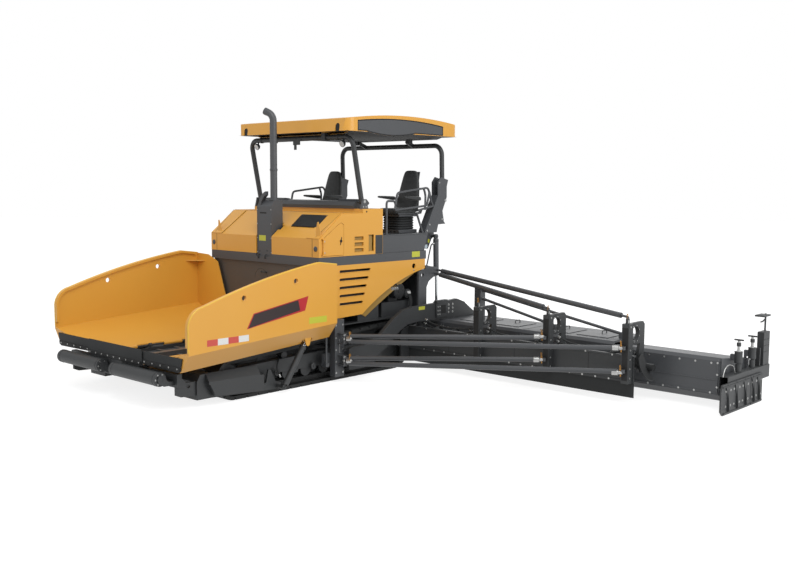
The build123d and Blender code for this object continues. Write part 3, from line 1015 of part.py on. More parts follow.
SADDLE_HALF = 52.0
ROOF_CORNER_R = 150.0
ROOF_WALL = 22.0
LINING = 10.0                    # thickness of the lining below the roof
NOTCH_Y = 1050.0                 # arched notches in the front edge
NOTCH_R = 46.0
NOTCH_Z = ROOF_BASE_Z + 66
PANEL_X = (-2010.0, -110.0)      # dark panel let into each side of the roof
with BuildPart() as canopy_roof:
    add(roof_shape(0))
    add(roof_shape(ROOF_WALL), mode=Mode.SUBTRACT)
    for side in (-1, 1):
        start = ROOF_HALF - 12 if side > 0 else -ROOF_HALF - 20
        for face_y, thick, mode in ((start, 32, Mode.SUBTRACT), (start + (0 if side > 0 else 24), 8, Mode.ADD)):
            with BuildSketch(Plane.XZ.offset(-face_y)) as panel:
                with BuildLine():
                    Line((PANEL_X[1], ROOF_BASE_Z + 6), (PANEL_X[1], ROOF_TOP_Z - 42))
                    ThreePointArc((PANEL_X[1], ROOF_TOP_Z - 42), (-900, ROOF_TOP_Z + 10), (PANEL_X[0], ROOF_TOP_Z - 50))
                    Line((PANEL_X[0], ROOF_TOP_Z - 50), (PANEL_X[0], ROOF_BASE_Z + 4))
                    Line((PANEL_X[0], ROOF_BASE_Z + 4), (-1360, ROOF_BASE_Z + 10))
                    ThreePointArc((-1360, ROOF_BASE_Z + 10), (-860, ROOF_BASE_Z - 42), (-290, ROOF_BASE_Z + 7))
                    Line((-290, ROOF_BASE_Z + 7), (PANEL_X[1], ROOF_BASE_Z + 6))
                make_face()
            extrude(panel.sketch, amount=-thick, mode=mode)
        bar((ROOF_FRONT - 80, side * NOTCH_Y, NOTCH_Z), (ROOF_FRONT + 20, side * NOTCH_Y, NOTCH_Z), NOTCH_R,
            mode=Mode.SUBTRACT)
        block((ROOF_FRONT - 80, ROOF_FRONT + 20), (side * (NOTCH_Y - NOTCH_R), side * (NOTCH_Y + NOTCH_R)), (ROOF_BASE_Z - 10, NOTCH_Z), mode=Mode.SUBTRACT)
    # The lining below the roof, a shallow tray.
    edge_y = ROOF_HALF - ROOF_WALL + 1
    tray = [(edge_y, 8), (1060, 0), (940, -34)]
    top_face = [(936, LINING - 34), (1056, LINING), (edge_y, LINING + 8)]
    cross_plate([(-y, ROOF_BASE_Z + z) for y, z in tray] + [(y, ROOF_BASE_Z + z) for y, z in reversed(tray)]
                + [(y, ROOF_BASE_Z + z) for y, z in reversed(top_face)] + [(-y, ROOF_BASE_Z + z) for y, z in top_face],
                ROOF_REAR + 160, ROOF_FRONT - ROOF_REAR - 385)
    for (pin_x, pin_z), pin_r, reach in ((FRONT_BAR, HOOP_R, SADDLE_HALF), (ROOF_PIN, HOOP_PIN_R, 32.0)):
        for side in (-1, 1):
            block((pin_x - reach, pin_x + reach), (side * (LUG_Y + 95), side * (LUG_Y + 20)),
                  (pin_z - pin_r - 12, ROOF_TOP_Z - 20))
            bar((pin_x, side * LUG_Y, pin_z), (pin_x, side * (LUG_Y + 130), pin_z), pin_r + FIT_GAP, mode=Mode.SUBTRACT)
write(canopy_roof, "canopy_roof")
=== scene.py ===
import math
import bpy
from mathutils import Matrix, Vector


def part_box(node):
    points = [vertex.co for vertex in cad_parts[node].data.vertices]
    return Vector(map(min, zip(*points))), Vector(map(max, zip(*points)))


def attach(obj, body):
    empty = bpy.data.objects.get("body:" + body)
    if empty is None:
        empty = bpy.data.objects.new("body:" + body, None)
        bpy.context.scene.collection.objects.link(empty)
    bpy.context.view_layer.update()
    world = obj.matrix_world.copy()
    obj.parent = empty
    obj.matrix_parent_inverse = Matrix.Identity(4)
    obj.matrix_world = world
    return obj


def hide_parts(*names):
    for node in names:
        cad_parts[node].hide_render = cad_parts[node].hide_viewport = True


bl_info = {
    "name": "Asphalt paver",
    "version": (1, 0, 0),
    "blender": (4, 5, 0),
    "location": "View3D > Sidebar > Paver",
    "description": "Builds the finishes and fittings of a tracked asphalt paver round its frame",
    "category": "Add Mesh",
}

import bpy
import numpy as np
from mathutils import Matrix, Vector

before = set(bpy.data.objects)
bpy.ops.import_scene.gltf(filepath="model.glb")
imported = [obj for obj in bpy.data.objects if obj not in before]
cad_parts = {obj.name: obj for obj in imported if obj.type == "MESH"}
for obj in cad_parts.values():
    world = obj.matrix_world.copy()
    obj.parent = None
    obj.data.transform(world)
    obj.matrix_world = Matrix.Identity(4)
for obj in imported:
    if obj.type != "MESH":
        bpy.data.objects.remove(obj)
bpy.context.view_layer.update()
MM = 0.001
X, Y, Z = (1, 0, 0), (0, 1, 0), (0, 0, 1)

# Lengths of the pieces are millimetres of the drawing: x forward, y to the left and z up from the ground. The
# hopper's front edge says where the drawing's middle lies along the frame's X.
WING_FRONT = 3100
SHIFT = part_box("hopper_wing_left")[1][0] - WING_FRONT * MM


def at(points):
    """Millimetre points of the drawing as metres of the frame."""
    return np.asarray(points, float) * MM + np.array([SHIFT, 0, 0])


def box_of(node):
    """Lowest and highest corner of a frame node, in millimetres of the drawing."""
    return [np.subtract(corner, (SHIFT, 0, 0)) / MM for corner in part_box(node)]


# ------------------------------------------------------------------ surfaces
# A shape is a pair: an array of points in metres and a list of faces.
def grid_faces(rows, cols, close_rows=False, close_cols=False):
    """Quads between neighbouring points of a rows by cols grid, closed round where asked."""
    row, col = np.meshgrid(np.arange(rows if close_rows else rows - 1),
                           np.arange(cols if close_cols else cols - 1), indexing="ij")
    next_row, next_col = (row + 1) % rows, (col + 1) % cols
    quads = np.stack([row * cols + col, row * cols + next_col, next_row * cols + next_col, next_row * cols + col],
                     axis=-1)
    return quads.reshape(-1, 4).tolist()


def end_faces(rows, cols):
    """The first and the last row of a grid as faces that close its ends."""
    return [list(range(cols))[::-1], [(rows - 1) * cols + i for i in range(cols)]]


def join(shapes):
    """Several shapes as one: their points one after another, and their faces shifted to match."""
    points, faces, shift = [], [], 0
    for shape_points, shape_faces in shapes:
        points.append(np.asarray(shape_points, float))
        faces += [[i + shift for i in face] for face in shape_faces]
        shift += len(shape_points)
    return np.concatenate(points), faces


def mirrored(shape):
    """A shape reflected across the machine's middle, with its faces turned to point out again."""
    return shape[0] * np.array([1, -1, 1]), [face[::-1] for face in shape[1]]


def turned(profile, place, axis, sides=20, hollow=False):
    """A profile of (along, radius) pairs turned round an axis, with closed ends, or closed into a band:
    point = place + along * axis + radius * (cos a * side + sin a * up)."""
    along = np.asarray(axis, float) / np.linalg.norm(axis)
    side = np.cross(Z if abs(along[2]) < 0.9 else X, along)
    side /= np.linalg.norm(side)
    pairs = np.asarray(profile, float) * MM
    angle = np.linspace(0, 2 * np.pi, sides, endpoint=False)
    circle_points = np.cos(angle)[:, None] * side + np.sin(angle)[:, None] * np.cross(along, side)
    points = at(place) + pairs[:, 0, None, None] * along + pairs[:, 1, None, None] * circle_points
    faces = grid_faces(len(pairs), sides, close_rows=hollow, close_cols=True)
    return points.reshape(-1, 3), faces if hollow else faces + end_faces(len(pairs), sides)


def ring(centre, axis, inner, outer, thick, sides=24):
    """A flat ring round an axis."""
    return turned([(0, inner), (0, outer), (thick, outer), (thick, inner)], centre, axis, sides, hollow=True)


def rod(start, end, radius, sides=14, crown=0.0):
    """A round rod between two points, its ends chamfered by crown."""
    run = np.subtract(end, start)
    length = np.linalg.norm(run)
    profile = [(0, radius - crown), (crown, radius), (length - crown, radius), (length, radius - crown)]
    return turned(profile if crown else profile[1:3], start, run, sides)


def slab(outline, origin, across, up, thick):
    """A flat outline of (across, up) pairs given a thickness square to it:
    point = origin + a * across + b * up + t * normal, t from 0 to thick."""
    across, up, pairs = (np.asarray(value, float) for value in (across, up, outline))
    flat = at(origin) + (pairs[:, :1] * across + pairs[:, 1:] * up) * MM
    area = np.sum(pairs[:, 0] * np.roll(pairs[:, 1], -1) - np.roll(pairs[:, 0], -1) * pairs[:, 1])
    count = len(pairs)
    order = list(range(count))[::1 if area * thick > 0 else -1]
    faces = [order[::-1], [i + count for i in order]]
    faces += [[one, two, two + count, one + count] for one, two in zip(order, order[1:] + order[:1])]
    return np.concatenate([flat, flat + thick * MM * np.cross(across, up)]), faces


def plate(outline, place, thick, facing):
    """A flat plate square to an axis, from its place towards that axis' positive end; the outline's pairs are
    (y, z), (x, z) or (x, y) for a plate facing x, y or z."""
    across, up, sign = {"x": (Y, Z, 1), "y": (X, Z, -1), "z": (X, Y, 1)}[facing]
    return slab(outline, [place if axis == facing else 0 for axis in "xyz"], across, up, sign * thick)


def strip(a, b, place, thick, facing):
    """A rectangular plate between two corners of its outline."""
    return plate([(a[0], a[1]), (b[0], a[1]), (b[0], b[1]), (a[0], b[1])], place, thick, facing)


def block(x, y, z):
    """A block between two x, two y and two z."""
    low, high = np.sort((x, y, z), axis=1).T
    return strip(low, high, low[2], high[2] - low[2], "z")


def opening_rim(low, high, width, height, place, thick, facing):
    """Four strips round a rectangular opening: below and above it by height, beside it by width."""
    (x0, z0), (x1, z1) = low, high
    return [strip((x0 - width, z0 - height), (x1 + width, z0), place, thick, facing),
            strip((x0 - width, z1), (x1 + width, z1 + height), place, thick, facing),
            strip((x0 - width, z0), (x0, z1), place, thick, facing),
            strip((x1, z0), (x1 + width, z1), place, thick, facing)]


def circle(radius, sides):
    """Points of a circle as pairs, in metres."""
    angle = np.linspace(0, 2 * np.pi, sides, endpoint=False)
    return np.stack([radius * MM * np.cos(angle), radius * MM * np.sin(angle)], axis=1)


def flat_bar(left, right, low, high):
    """Corners of a flat bar's section as pairs, in metres."""
    return np.array([(left, low), (right, low), (right, high), (left, high)]) * MM


def carried(profile, path, up=Z, close=False):
    """A closed profile of (side, up) pairs in metres carried along a path in metres. At each point of the path
    the side vector is the run crossed with up, and the profile stands square to the run."""
    pairs, line = np.asarray(profile, float), np.asarray(path, float)
    run = np.roll(line, -1, 0) - np.roll(line, 1, 0) if close else np.gradient(line, axis=0)
    run /= np.linalg.norm(run, axis=1)[:, None]
    side = np.cross(run, np.asarray(up, float))
    side /= np.linalg.norm(side, axis=1)[:, None]
    top = np.cross(side, run)
    points = line[:, None] + pairs[None, :, 0, None] * side[:, None] + pairs[None, :, 1, None] * top[:, None]
    faces = grid_faces(len(line), len(pairs), close_rows=close, close_cols=True)
    faces += [] if close else end_faces(len(line), len(pairs))
    return points.reshape(-1, 3), [face[::-1] for face in faces]


def bent(corners, radius, steps=6):
    """A path through corners, with each inner corner rounded by an arc of about that radius:
    on the arc the point is the quadratic blend of the two tangent points and the corner."""
    path = [corners[0]]
    t = np.linspace(0, 1, steps)[:, None]
    for before, here, after in zip(corners, corners[1:], corners[2:]):
        back, on = before - here, after - here
        reach = min(radius, 0.45 * np.linalg.norm(back), 0.45 * np.linalg.norm(on))
        start = here + back / np.linalg.norm(back) * reach
        end = here + on / np.linalg.norm(on) * reach
        path += list((1 - t) ** 2 * start + 2 * t * (1 - t) * here + t ** 2 * end)
    return np.array([*path, corners[-1]])


def tube(corners, radius, bend=40, sides=10):
    """A round tube or hose through corners, its up vector the normal of the plane that fits them best."""
    path = bent(at(corners), bend * MM)
    up = np.linalg.svd(path - path.mean(0))[2][2]
    return carried(circle(radius, sides), path, up)


def short_turn(angle):
    """An angle brought between minus and plus half a turn."""
    return (angle + math.pi) % (2 * math.pi) - math.pi


def arc(start, middle, end, steps):
    """Points of the circle through three pairs, from the first to the last: the centre is where the chords'
    perpendicular bisectors meet."""
    a, b, c = (np.asarray(pair, float) for pair in (start, middle, end))
    centre = np.linalg.solve([b - a, c - b], [np.dot(b - a, b + a) / 2, np.dot(c - b, c + b) / 2])
    first, second, third = (math.atan2(*(pair - centre)[::-1]) for pair in (a, b, c))
    angle = first + np.linspace(0, short_turn(second - first) + short_turn(third - second), steps)
    radius = np.linalg.norm(a - centre)
    return [(centre[0] + radius * math.cos(t), centre[1] + radius * math.sin(t)) for t in angle]


def bolt_row(points, axis, radius):
    """Hexagon bolts on points of one face: a washer, a six-sided head and a low crown each."""
    head = [(0, radius * 0.98), (0.55 * radius, radius), (0.62 * radius, radius * 0.7)]
    washer = [(0, radius * 1.45), (0.14 * radius, radius * 1.45)]
    return join([turned(profile, place, axis, sides)
                 for place in points for profile, sides in ((head, 6), (washer, 14))])


def bolt_circle(centre, reach, count, radius, facing=1, first=0.0):
    """Bolts in a circle round a centre, on a face square to y."""
    turn = first + np.linspace(0, 2 * np.pi, count, endpoint=False)
    return bolt_row([np.add(centre, (reach * math.cos(t), 0, reach * math.sin(t))) for t in turn],
                    (0, facing, 0), radius)


# ------------------------------------------------------------------ materials
def colour(code):
    """Linear colour from an sRGB hex code."""
    parts = [int(code[i:i + 2], 16) / 255 for i in (1, 3, 5)]
    return (*[p / 12.92 if p <= 0.04045 else ((p + 0.055) / 1.055) ** 2.4 for p in parts], 1.0)


def add_node(tree, kind, settings=None, links=None):
    """Adds a shader node, sets its properties and inputs, and links inputs to other nodes' outputs."""
    made = tree.nodes.new(kind)
    for key, value in (settings or {}).items():
        if key in made.inputs:
            made.inputs[key].default_value = value
        else:
            setattr(made, key, value)
    for key, source in (links or {}).items():
        tree.links.new(source, made.inputs[key])
    return made


def new_tree(owner):
    """The emptied node tree of a material or world."""
    owner.use_nodes = True
    owner.node_tree.nodes.clear()
    return owner.node_tree


def noise(tree, place, scale, detail, roughness=0.5):
    """Soft cloudy noise over object coordinates."""
    return add_node(tree, "ShaderNodeTexNoise", {"Scale": scale, "Detail": detail, "Roughness": roughness},
                    {"Vector": place}).outputs["Fac"]


def cells(tree, place, scale):
    """Small irregular cells over object coordinates."""
    return add_node(tree, "ShaderNodeTexVoronoi", {"Scale": scale}, {"Vector": place}).outputs["Distance"]


def finish_of(name, base, shade, tone, skin=None, press=(0, 0), rough=0.5, **inputs):
    """A finish whose colour runs between two tones over one texture, while a finer one presses its skin by
    (strength, depth in metres). rough is one value, or the two that it runs between over the tone's texture;
    the rest are inputs of the shader, with low lines for the blanks in their names."""
    material = bpy.data.materials.new(name)
    tree = new_tree(material)
    shader = add_node(tree, "ShaderNodeBsdfPrincipled", {key.replace("_", " "): inputs[key] for key in inputs})
    add_node(tree, "ShaderNodeOutputMaterial", links={"Surface": shader.outputs[0]})
    place = add_node(tree, "ShaderNodeTexCoord").outputs["Object"]
    drift = tone[0](tree, place, *tone[1:])
    mix = tree.nodes.new("ShaderNodeMix")
    mix.data_type = "RGBA"
    mix.inputs[6].default_value, mix.inputs[7].default_value = colour(base), colour(shade)
    tree.links.new(drift, mix.inputs[0])
    tree.links.new(mix.outputs[2], shader.inputs["Base Color"])
    if skin:
        bump = add_node(tree, "ShaderNodeBump", {"Strength": press[0], "Distance": press[1]},
                        {"Height": skin[0](tree, place, *skin[1:])})
        tree.links.new(bump.outputs[0], shader.inputs["Normal"])
    if isinstance(rough, tuple):
        ends = add_node(tree, "ShaderNodeMapRange", {"To Min": rough[0], "To Max": rough[1]}, {"Value": drift})
        tree.links.new(ends.outputs[0], shader.inputs["Roughness"])
    else:
        shader.inputs["Roughness"].default_value = rough
    return material


def sprayed_enamel(name, base, shade, gloss, coat):
    """Two-pack enamel sprayed on steel: a faint orange peel, slow drift of tone, and a clear coat on top."""
    return finish_of(name, base, shade, (noise, 1.3, 3), (noise, 180, 2), (0.05, 0.0006),
                     (gloss - 0.04, gloss + 0.08), Coat_Weight=coat, Coat_Roughness=0.18, IOR=1.5)


def rolled_iron(name, base, shade, metallic=0.35, gloss=0.6, grain=60):
    """Cast or rolled steel that mix and grit have rubbed: mottled, with a rough skin."""
    return finish_of(name, base, shade, (noise, 9, 6, 0.65), (noise, grain, 5), (0.25, 0.001),
                     (gloss - 0.12, gloss + 0.12), Metallic=metallic)


def moulded_rubber(name, base, shade):
    """Moulded rubber: dull, nearly black, with a fine pitted skin."""
    return finish_of(name, base, shade, (noise, 4, 4), (noise, 260, 2), (0.18, 0.0006), 0.72)


def plated_steel(name, base, shade, gloss=0.22):
    """Chromed or zinc-plated steel: bright metal with a slight haze."""
    return finish_of(name, base, shade, (noise, 25, 3), rough=(gloss - 0.06, gloss + 0.1), Metallic=1.0)


def grained_vinyl(name, base, shade):
    """Grained seat vinyl: small irregular cells pressed into a soft dark skin, with a little sheen."""
    return finish_of(name, base, shade, (noise, 6, 3), (cells, 300), (0.3, 0.0008), 0.55, Sheen_Weight=0.15)


def cast_plastic(name, base, shade, gloss=0.5):
    """Moulded plastic or a printed film, with a fine sand texture."""
    return finish_of(name, base, shade, (noise, 3, 3), (noise, 420, 1), (0.12, 0.0005), gloss)


def reflective_tape(name, base, shade):
    """Tape with small glass cells under a clear face: saturated, with a honeycomb that barely shows."""
    return finish_of(name, base, shade, (cells, 160), rough=0.3, Coat_Weight=0.5)


MATERIALS = {}


def make_materials(body_yellow):
    """All the machine's finishes, named for what they are."""
    MATERIALS.clear()
    MATERIALS.update({
        "yellow": sprayed_enamel("amber_yellow_enamel", body_yellow, "#D49836", 0.38, 0.2),
        # A lighter copy of the body yellow: painted highlight for the tops of the wings' lips, as lit from above.
        "painted_highlight_yellow": sprayed_enamel("painted_highlight_yellow_enamel", "#DDB23E", "#D8AC38", 0.4, 0.15),
        # A darker copy of the body yellow: painted shade inside the hood's slots and on the side panels' arch flange.
        "painted_shade_yellow": sprayed_enamel("painted_shade_yellow_enamel", "#9A7A38", "#937334", 0.5, 0.05),
        "grey": sprayed_enamel("slate_grey_enamel", "#46484B", "#404245", 0.45, 0.08),
        "deep_grey": sprayed_enamel("deep_grey_enamel", "#2E3032", "#292B2C", 0.52, 0.05),
        "warm_grey": sprayed_enamel("warm_grey_enamel", "#4C4641", "#46413D", 0.5, 0.1),
        "iron": rolled_iron("track_cast_iron", "#1D1E1F", "#292A2A"),
        "engine": rolled_iron("engine_cast_iron", "#232526", "#1B1C1D", metallic=0.2),
        "steel": rolled_iron("rubbed_plate_steel", "#77797B", "#66686A", metallic=0.8, gloss=0.45, grain=90),
        "rubber": moulded_rubber("black_sheet_rubber", "#121415", "#181B1C"),
        "chrome": plated_steel("hard_chrome_rod", "#C9CCCF", "#B7BABD"),
        "zinc": plated_steel("zinc_plated_steel", "#B9BABA", "#9C9C99", gloss=0.36),
        "brass": plated_steel("yellow_passivated_steel", "#B98B52", "#9A7038", gloss=0.4),
        "vinyl": grained_vinyl("black_seat_vinyl", "#16191A", "#1D2021"),
        "plastic": cast_plastic("charcoal_moulding", "#3C3E41", "#35373A"),
        "black": cast_plastic("black_moulding", "#08090A", "#0E0F10", gloss=0.75),
        "red_tape": reflective_tape("red_reflective_tape", "#C8402F", "#B63527"),
        "white_tape": reflective_tape("white_reflective_tape", "#DCDDDA", "#CFD0CD"),
        "lamp_glass": cast_plastic("lamp_lens", "#D8DCDE", "#C8CCCE", gloss=0.1),
        "pale_label": cast_plastic("pale_label", "#C9D6DE", "#BFCDD6", gloss=0.4),
        "green_label": cast_plastic("yellow_green_label", "#BDBE3C", "#B4B536", gloss=0.4),
        "plaque_dark": cast_plastic("plaque_maroon_black", "#200A0C", "#180709", gloss=0.5),
        "plaque_red": cast_plastic("plaque_red", "#B5232B", "#A81E26", gloss=0.35),
    })


NODE_FINISH = {
    "yellow": ("hopper_wing_left", "hopper_wing_right", "hood", "engine_door_left", "engine_door_right",
               "side_panels", "canopy_roof"),
    "grey": ("deck_frame", "exhaust_stack", "platform", "guide_columns", "rear_frame", "tie_rods", "upper_braces",
             "end_frames", "screed_body", "screed_braces", "screed_walkway", "canopy_feet", "levelling_cylinders",
             "tow_carriage", "handrails", "dash_console", "lift_cylinders"),
    "deep_grey": ("chassis_frame", "roller_frames", "auger_case", "push_beam", "push_roller_left",
                  "push_roller_right", "track_guards", "mouldboards", "canopy_front_hoop", "canopy_rear_hoop",
                  "end_gate_left", "end_gate_right", "auger_brackets", "auger_side_plates", "tow_arms",
                  "engine_bay_units", "wing_cylinder_left", "wing_cylinder_right"),
    "warm_grey": ("front_bulkhead",),
    "iron": ("tracks",),
    "engine": ("engine_block", "auger_left", "auger_right"),
    "steel": ("conveyor", "screed_soles", "lift_pistons"),
    "rubber": ("wing_flap_left", "wing_flap_right", "centre_flap", "mouldboard_skirts"),
    "chrome": ("wing_rod_left", "wing_rod_right", "lift_rods"),
    "vinyl": ("seat_cushions",),
    "plastic": ("seat_bases",),
    "black": ("air_screen",),
}
# The record's slot that a finish belongs to, where that isn't the dark paint.
SLOTS = {
    "yellow": "yellow_paint", "painted_highlight_yellow": "yellow_paint", "painted_shade_yellow": "yellow_paint", "zinc": "bare_steel",
    "brass": "bare_steel", "steel": "bare_steel", "iron": "track_iron", "engine": "engine_iron",
    "rubber": "black_rubber", "vinyl": "seat_fabric", "plastic": "trim_plastic", "lamp_glass": "trim_plastic",
}
SOFTEST_EDGE = math.radians(38)      # faces that meet at less are shaded as one
BEVEL_FROM = math.radians(40)        # edges sharper than this get the bevel


# ------------------------------------------------------------------ pieces
def make_piece(name, shape, finish, body, slot=None, bevel=0.0, replaces=()):
    """Puts a shape into a mesh object, gives it its finish and lets it ride on its body."""
    points, faces = shape
    mesh = bpy.data.meshes.new(name)
    mesh.from_pydata(np.asarray(points, float).tolist(), [], faces)
    mesh.update()
    mesh.validate()
    mesh.materials.append(MATERIALS[finish])
    mesh.shade_smooth()
    mesh.set_sharp_from_angle(angle=SOFTEST_EDGE)
    piece = bpy.data.objects.new(name, mesh)
    bpy.context.scene.collection.objects.link(piece)
    if bevel:
        edge = piece.modifiers.new("Edge", "BEVEL")
        edge.width, edge.segments = bevel, 1
        edge.limit_method, edge.angle_limit = "ANGLE", BEVEL_FROM
    slot = slot or SLOTS.get(finish, "dark_paint")
    if replaces:
        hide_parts(*replaces)
    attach(piece, body)
    return piece


def fit_one(name, shapes, finish, body="tractor", **more):
    """Shapes joined into one piece on a body."""
    return make_piece(name, join(shapes), finish, body, **more)


def fit_both(name, shapes, finish, body="tractor", **more):
    """Shapes and their mirror images joined into one piece on a body."""
    shape = join(shapes)
    return make_piece(name, join([shape, mirrored(shape)]), finish, body, **more)


def fit_pair(name, shapes, finish, body, **more):
    """A piece on the left body and its mirror image on the right one."""
    shape = join(shapes)
    make_piece(name + "_left", shape, finish, body + "_left", **more)
    make_piece(name + "_right", mirrored(shape), finish, body + "_right", **more)


def fit_hoses(name, runs, radius):
    """Hydraulic hoses through corners, each with its bend radius, and a swaged sleeve at each end of each."""
    sleeves = []
    for corners, _ in runs:
        path = np.asarray(corners, float)
        for first, second in ((path[0], path[1]), (path[-1], path[-2])):
            run = second - first
            length = min(50, 0.8 * np.linalg.norm(run))
            profile = [(0, 1.1), (0.1 * length, 1.5), (0.9 * length, 1.5), (length, 1.1)]
            sleeves.append(turned([(along, swell * radius) for along, swell in profile], first, run, 10))
    fit_both(name + "_hoses", [tube(corners, radius, bend, 8) for corners, bend in runs], "rubber")
    fit_both(name + "_hose_ends", sleeves, "zinc")


class PAVER_OT_finishes(bpy.types.Operator):
    """Makes the finishes and puts them on the frame's own nodes"""
    bl_idname = "paver.finishes"
    bl_label = "Finishes"

    def execute(self, context):
        make_materials(context.scene.paver_colours.body_yellow)
        for finish, nodes in NODE_FINISH.items():
            for node in nodes:
                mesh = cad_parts[node].data
                mesh.materials.clear()
                mesh.materials.append(MATERIALS[finish])
        return {"FINISHED"}


# ------------------------------------------------------------------ hopper
class PAVER_OT_wing_marks(bpy.types.Operator):
    """Reflective stripe on both wings, and a blank plaque and a blank label on the left one"""
    bl_idname = "paver.wing_marks"
    bl_label = "Wing marks"

    def execute(self, context):
        fittings = context.scene.paver_fittings
        side = box_of("hopper_wing_left")[1][1]
        length, height = fittings.stripe_length / MM, fittings.stripe_height / MM
        bands = [strip((2830 - (i + 1) * length, 830), (2830 - i * length, 830 + height), side, 1.4, "y")
                 for i in range(4)]
        fit_pair("stripe_red", bands[0::2], "red_tape", "wing", slot="yellow_paint")
        fit_pair("stripe_white", bands[1::2], "white_tape", "wing", slot="yellow_paint")
        back = plate([(2220, 980), (2110, 1170), (1180, 1320), (1240, 1130)], side, 1.2, "y")
        face = plate([(2196, 990), (2100, 1160), (1360, 1279), (1330, 1139.77)], side + 0.6, 1.4, "y")
        label = strip((850, 940), (1170, 1025), side, 0.8, "y")
        for name, shape, finish in (("plaque_red", back, "plaque_red"), ("plaque", face, "plaque_dark"),
                                    ("wing_label", label, "green_label")):
            make_piece(name, shape, finish, "wing_left", "yellow_paint")
        return {"FINISHED"}


class PAVER_OT_wing_fittings(bpy.types.Operator):
    """Rolled lips and hole rings of the wings, clamp strips and bolts of the rubber flaps, the hinges' pin heads
    and the cylinders' hoses"""
    bl_idname = "paver.wing_fittings"
    bl_label = "Wing fittings"

    def execute(self, context):
        (rear, _, _), (_, side, _) = box_of("hopper_wing_left")
        nose = WING_FRONT - 5
        lip = [(rear, 1712), (980, 1752)] + arc((1010, 1748), (1930, 1581), (WING_FRONT - 220, 1316), 26)
        lip += arc((WING_FRONT - 216, 1314), (WING_FRONT - 56, 1219), (nose, 1090), 12)[1:] + [(nose, 780)]
        bead = carried(circle(11, 10), at([(x, side - 10, z) for x, z in lip]), Y)
        # The beads stand for the real rolled lips; their lighter yellow is a painted highlight on their lit tops.
        fit_pair("wing_lips", [bead], "painted_highlight_yellow", "wing")
        rings = [ring((x, y, z), Y, 34.5, 46, 5)
                 for x, z in ((2260, 1380), (1400, 1535)) for y in (side - 1, side - 20)]
        fit_pair("wing_hole_rings", rings, "yellow", "wing", bevel=0.001)
        clamp_thick, head, hinge = 9, 8, (540, 530)
        front = box_of("wing_flap_left")[1][0]
        clamp = plate([(650, 540), (1465, 543), (1475, 590), (650, 590)], front, clamp_thick, "x")
        fit_pair("wing_flap_clamp", [clamp], "black", "wing", bevel=0.001)
        heads = [(front + clamp_thick, y, 566) for y in np.linspace(700, 1420, 5)]
        fit_pair("wing_flap_bolts", [bolt_row(heads, X, head)], "zinc", "wing")
        front = box_of("centre_flap")[1][0]
        clamp = strip((-640, 520), (640, 566), front, clamp_thick, "x")
        fit_one("centre_flap_clamp", [clamp], "black", bevel=0.001)
        heads = [(front + clamp_thick, y, 543) for y in np.linspace(-600, 600, 9)]
        fit_one("centre_flap_bolts", [bolt_row(heads, X, head)], "zinc")
        pins = [rod((x - 22, *hinge), (x + 22, *hinge), 30, 16, 5) for x in (760, 1500, 2240, 2980)]
        fit_both("wing_hinge_heads", pins, "deep_grey")
        run = [(1400, 1300, 200), (1430, 1250, 330), (1300, 1150, 420), (1200, 1000, 440)]
        fit_hoses("wing_cylinder", [(run, 90)], 11)
        return {"FINISHED"}


class PAVER_OT_push_rollers(bpy.types.Operator):
    """End caps, bolts and wear bands of the push rollers, and bolts of their beam"""
    bl_idname = "paver.push_rollers"
    bl_label = "Push rollers"

    def execute(self, context):
        low, high = box_of("push_roller_left")
        x, z = ((low + high) / 2)[[0, 2]]
        caps, heads = [], []
        for y, facing in ((150, -1), (1190, 1)):
            caps.append(turned([(-3, 89), (4, 89), (6, 80), (7, 40), (7, 30)], (x, y, z), (0, facing, 0), 24))
            heads.append(bolt_circle((x, y + facing * 6, z), 62, 6, 9, facing))
        bands = [ring((x, y, z), Y, 87.5, 91, 14) for y in (190, 1136)]
        fit_pair("push_roller_caps", caps + bands, "deep_grey", "push_roller")
        fit_pair("push_roller_bolts", heads, "zinc", "push_roller")
        heads = [(WING_FRONT + 11, y, 355) for y in np.linspace(200, 1140, 8)]
        fit_both("push_beam_bolts", [bolt_row(heads, X, 11)], "zinc")
        return {"FINISHED"}


# ------------------------------------------------------------------ engine housing
# The third y is where the sheets of painted shade and painted shadow behind the hood's slots and louvres stand.
HOOD_FRONT, HOOD_SIDE, SHADE_SHEET_SIDE = 640, 1250, 1226
SLOPE_FOOT, SLOPE_HEAD = np.array((HOOD_FRONT, 2040.0)), np.array((190.0, 2390.0))
SLOPE_LENGTH = float(np.linalg.norm(SLOPE_HEAD - SLOPE_FOOT))
SLOPE_RUN = (SLOPE_HEAD - SLOPE_FOOT) / SLOPE_LENGTH
SLOPE_OUT = np.array((SLOPE_RUN[1], -SLOPE_RUN[0]))


def slope_point(climb, y, lift):
    """A point on the hood's sloping front, lifted off the paint."""
    x, z = SLOPE_FOOT + SLOPE_RUN * climb + SLOPE_OUT * lift
    return x, y, z


def on_slope(outline, lift, thick):
    """A plate on the hood's sloping front: its pairs are (distance up the slope, y), lifted off the paint."""
    return slab(outline, slope_point(0, 0, lift), (SLOPE_RUN[0], 0, SLOPE_RUN[1]), Y, -thick)


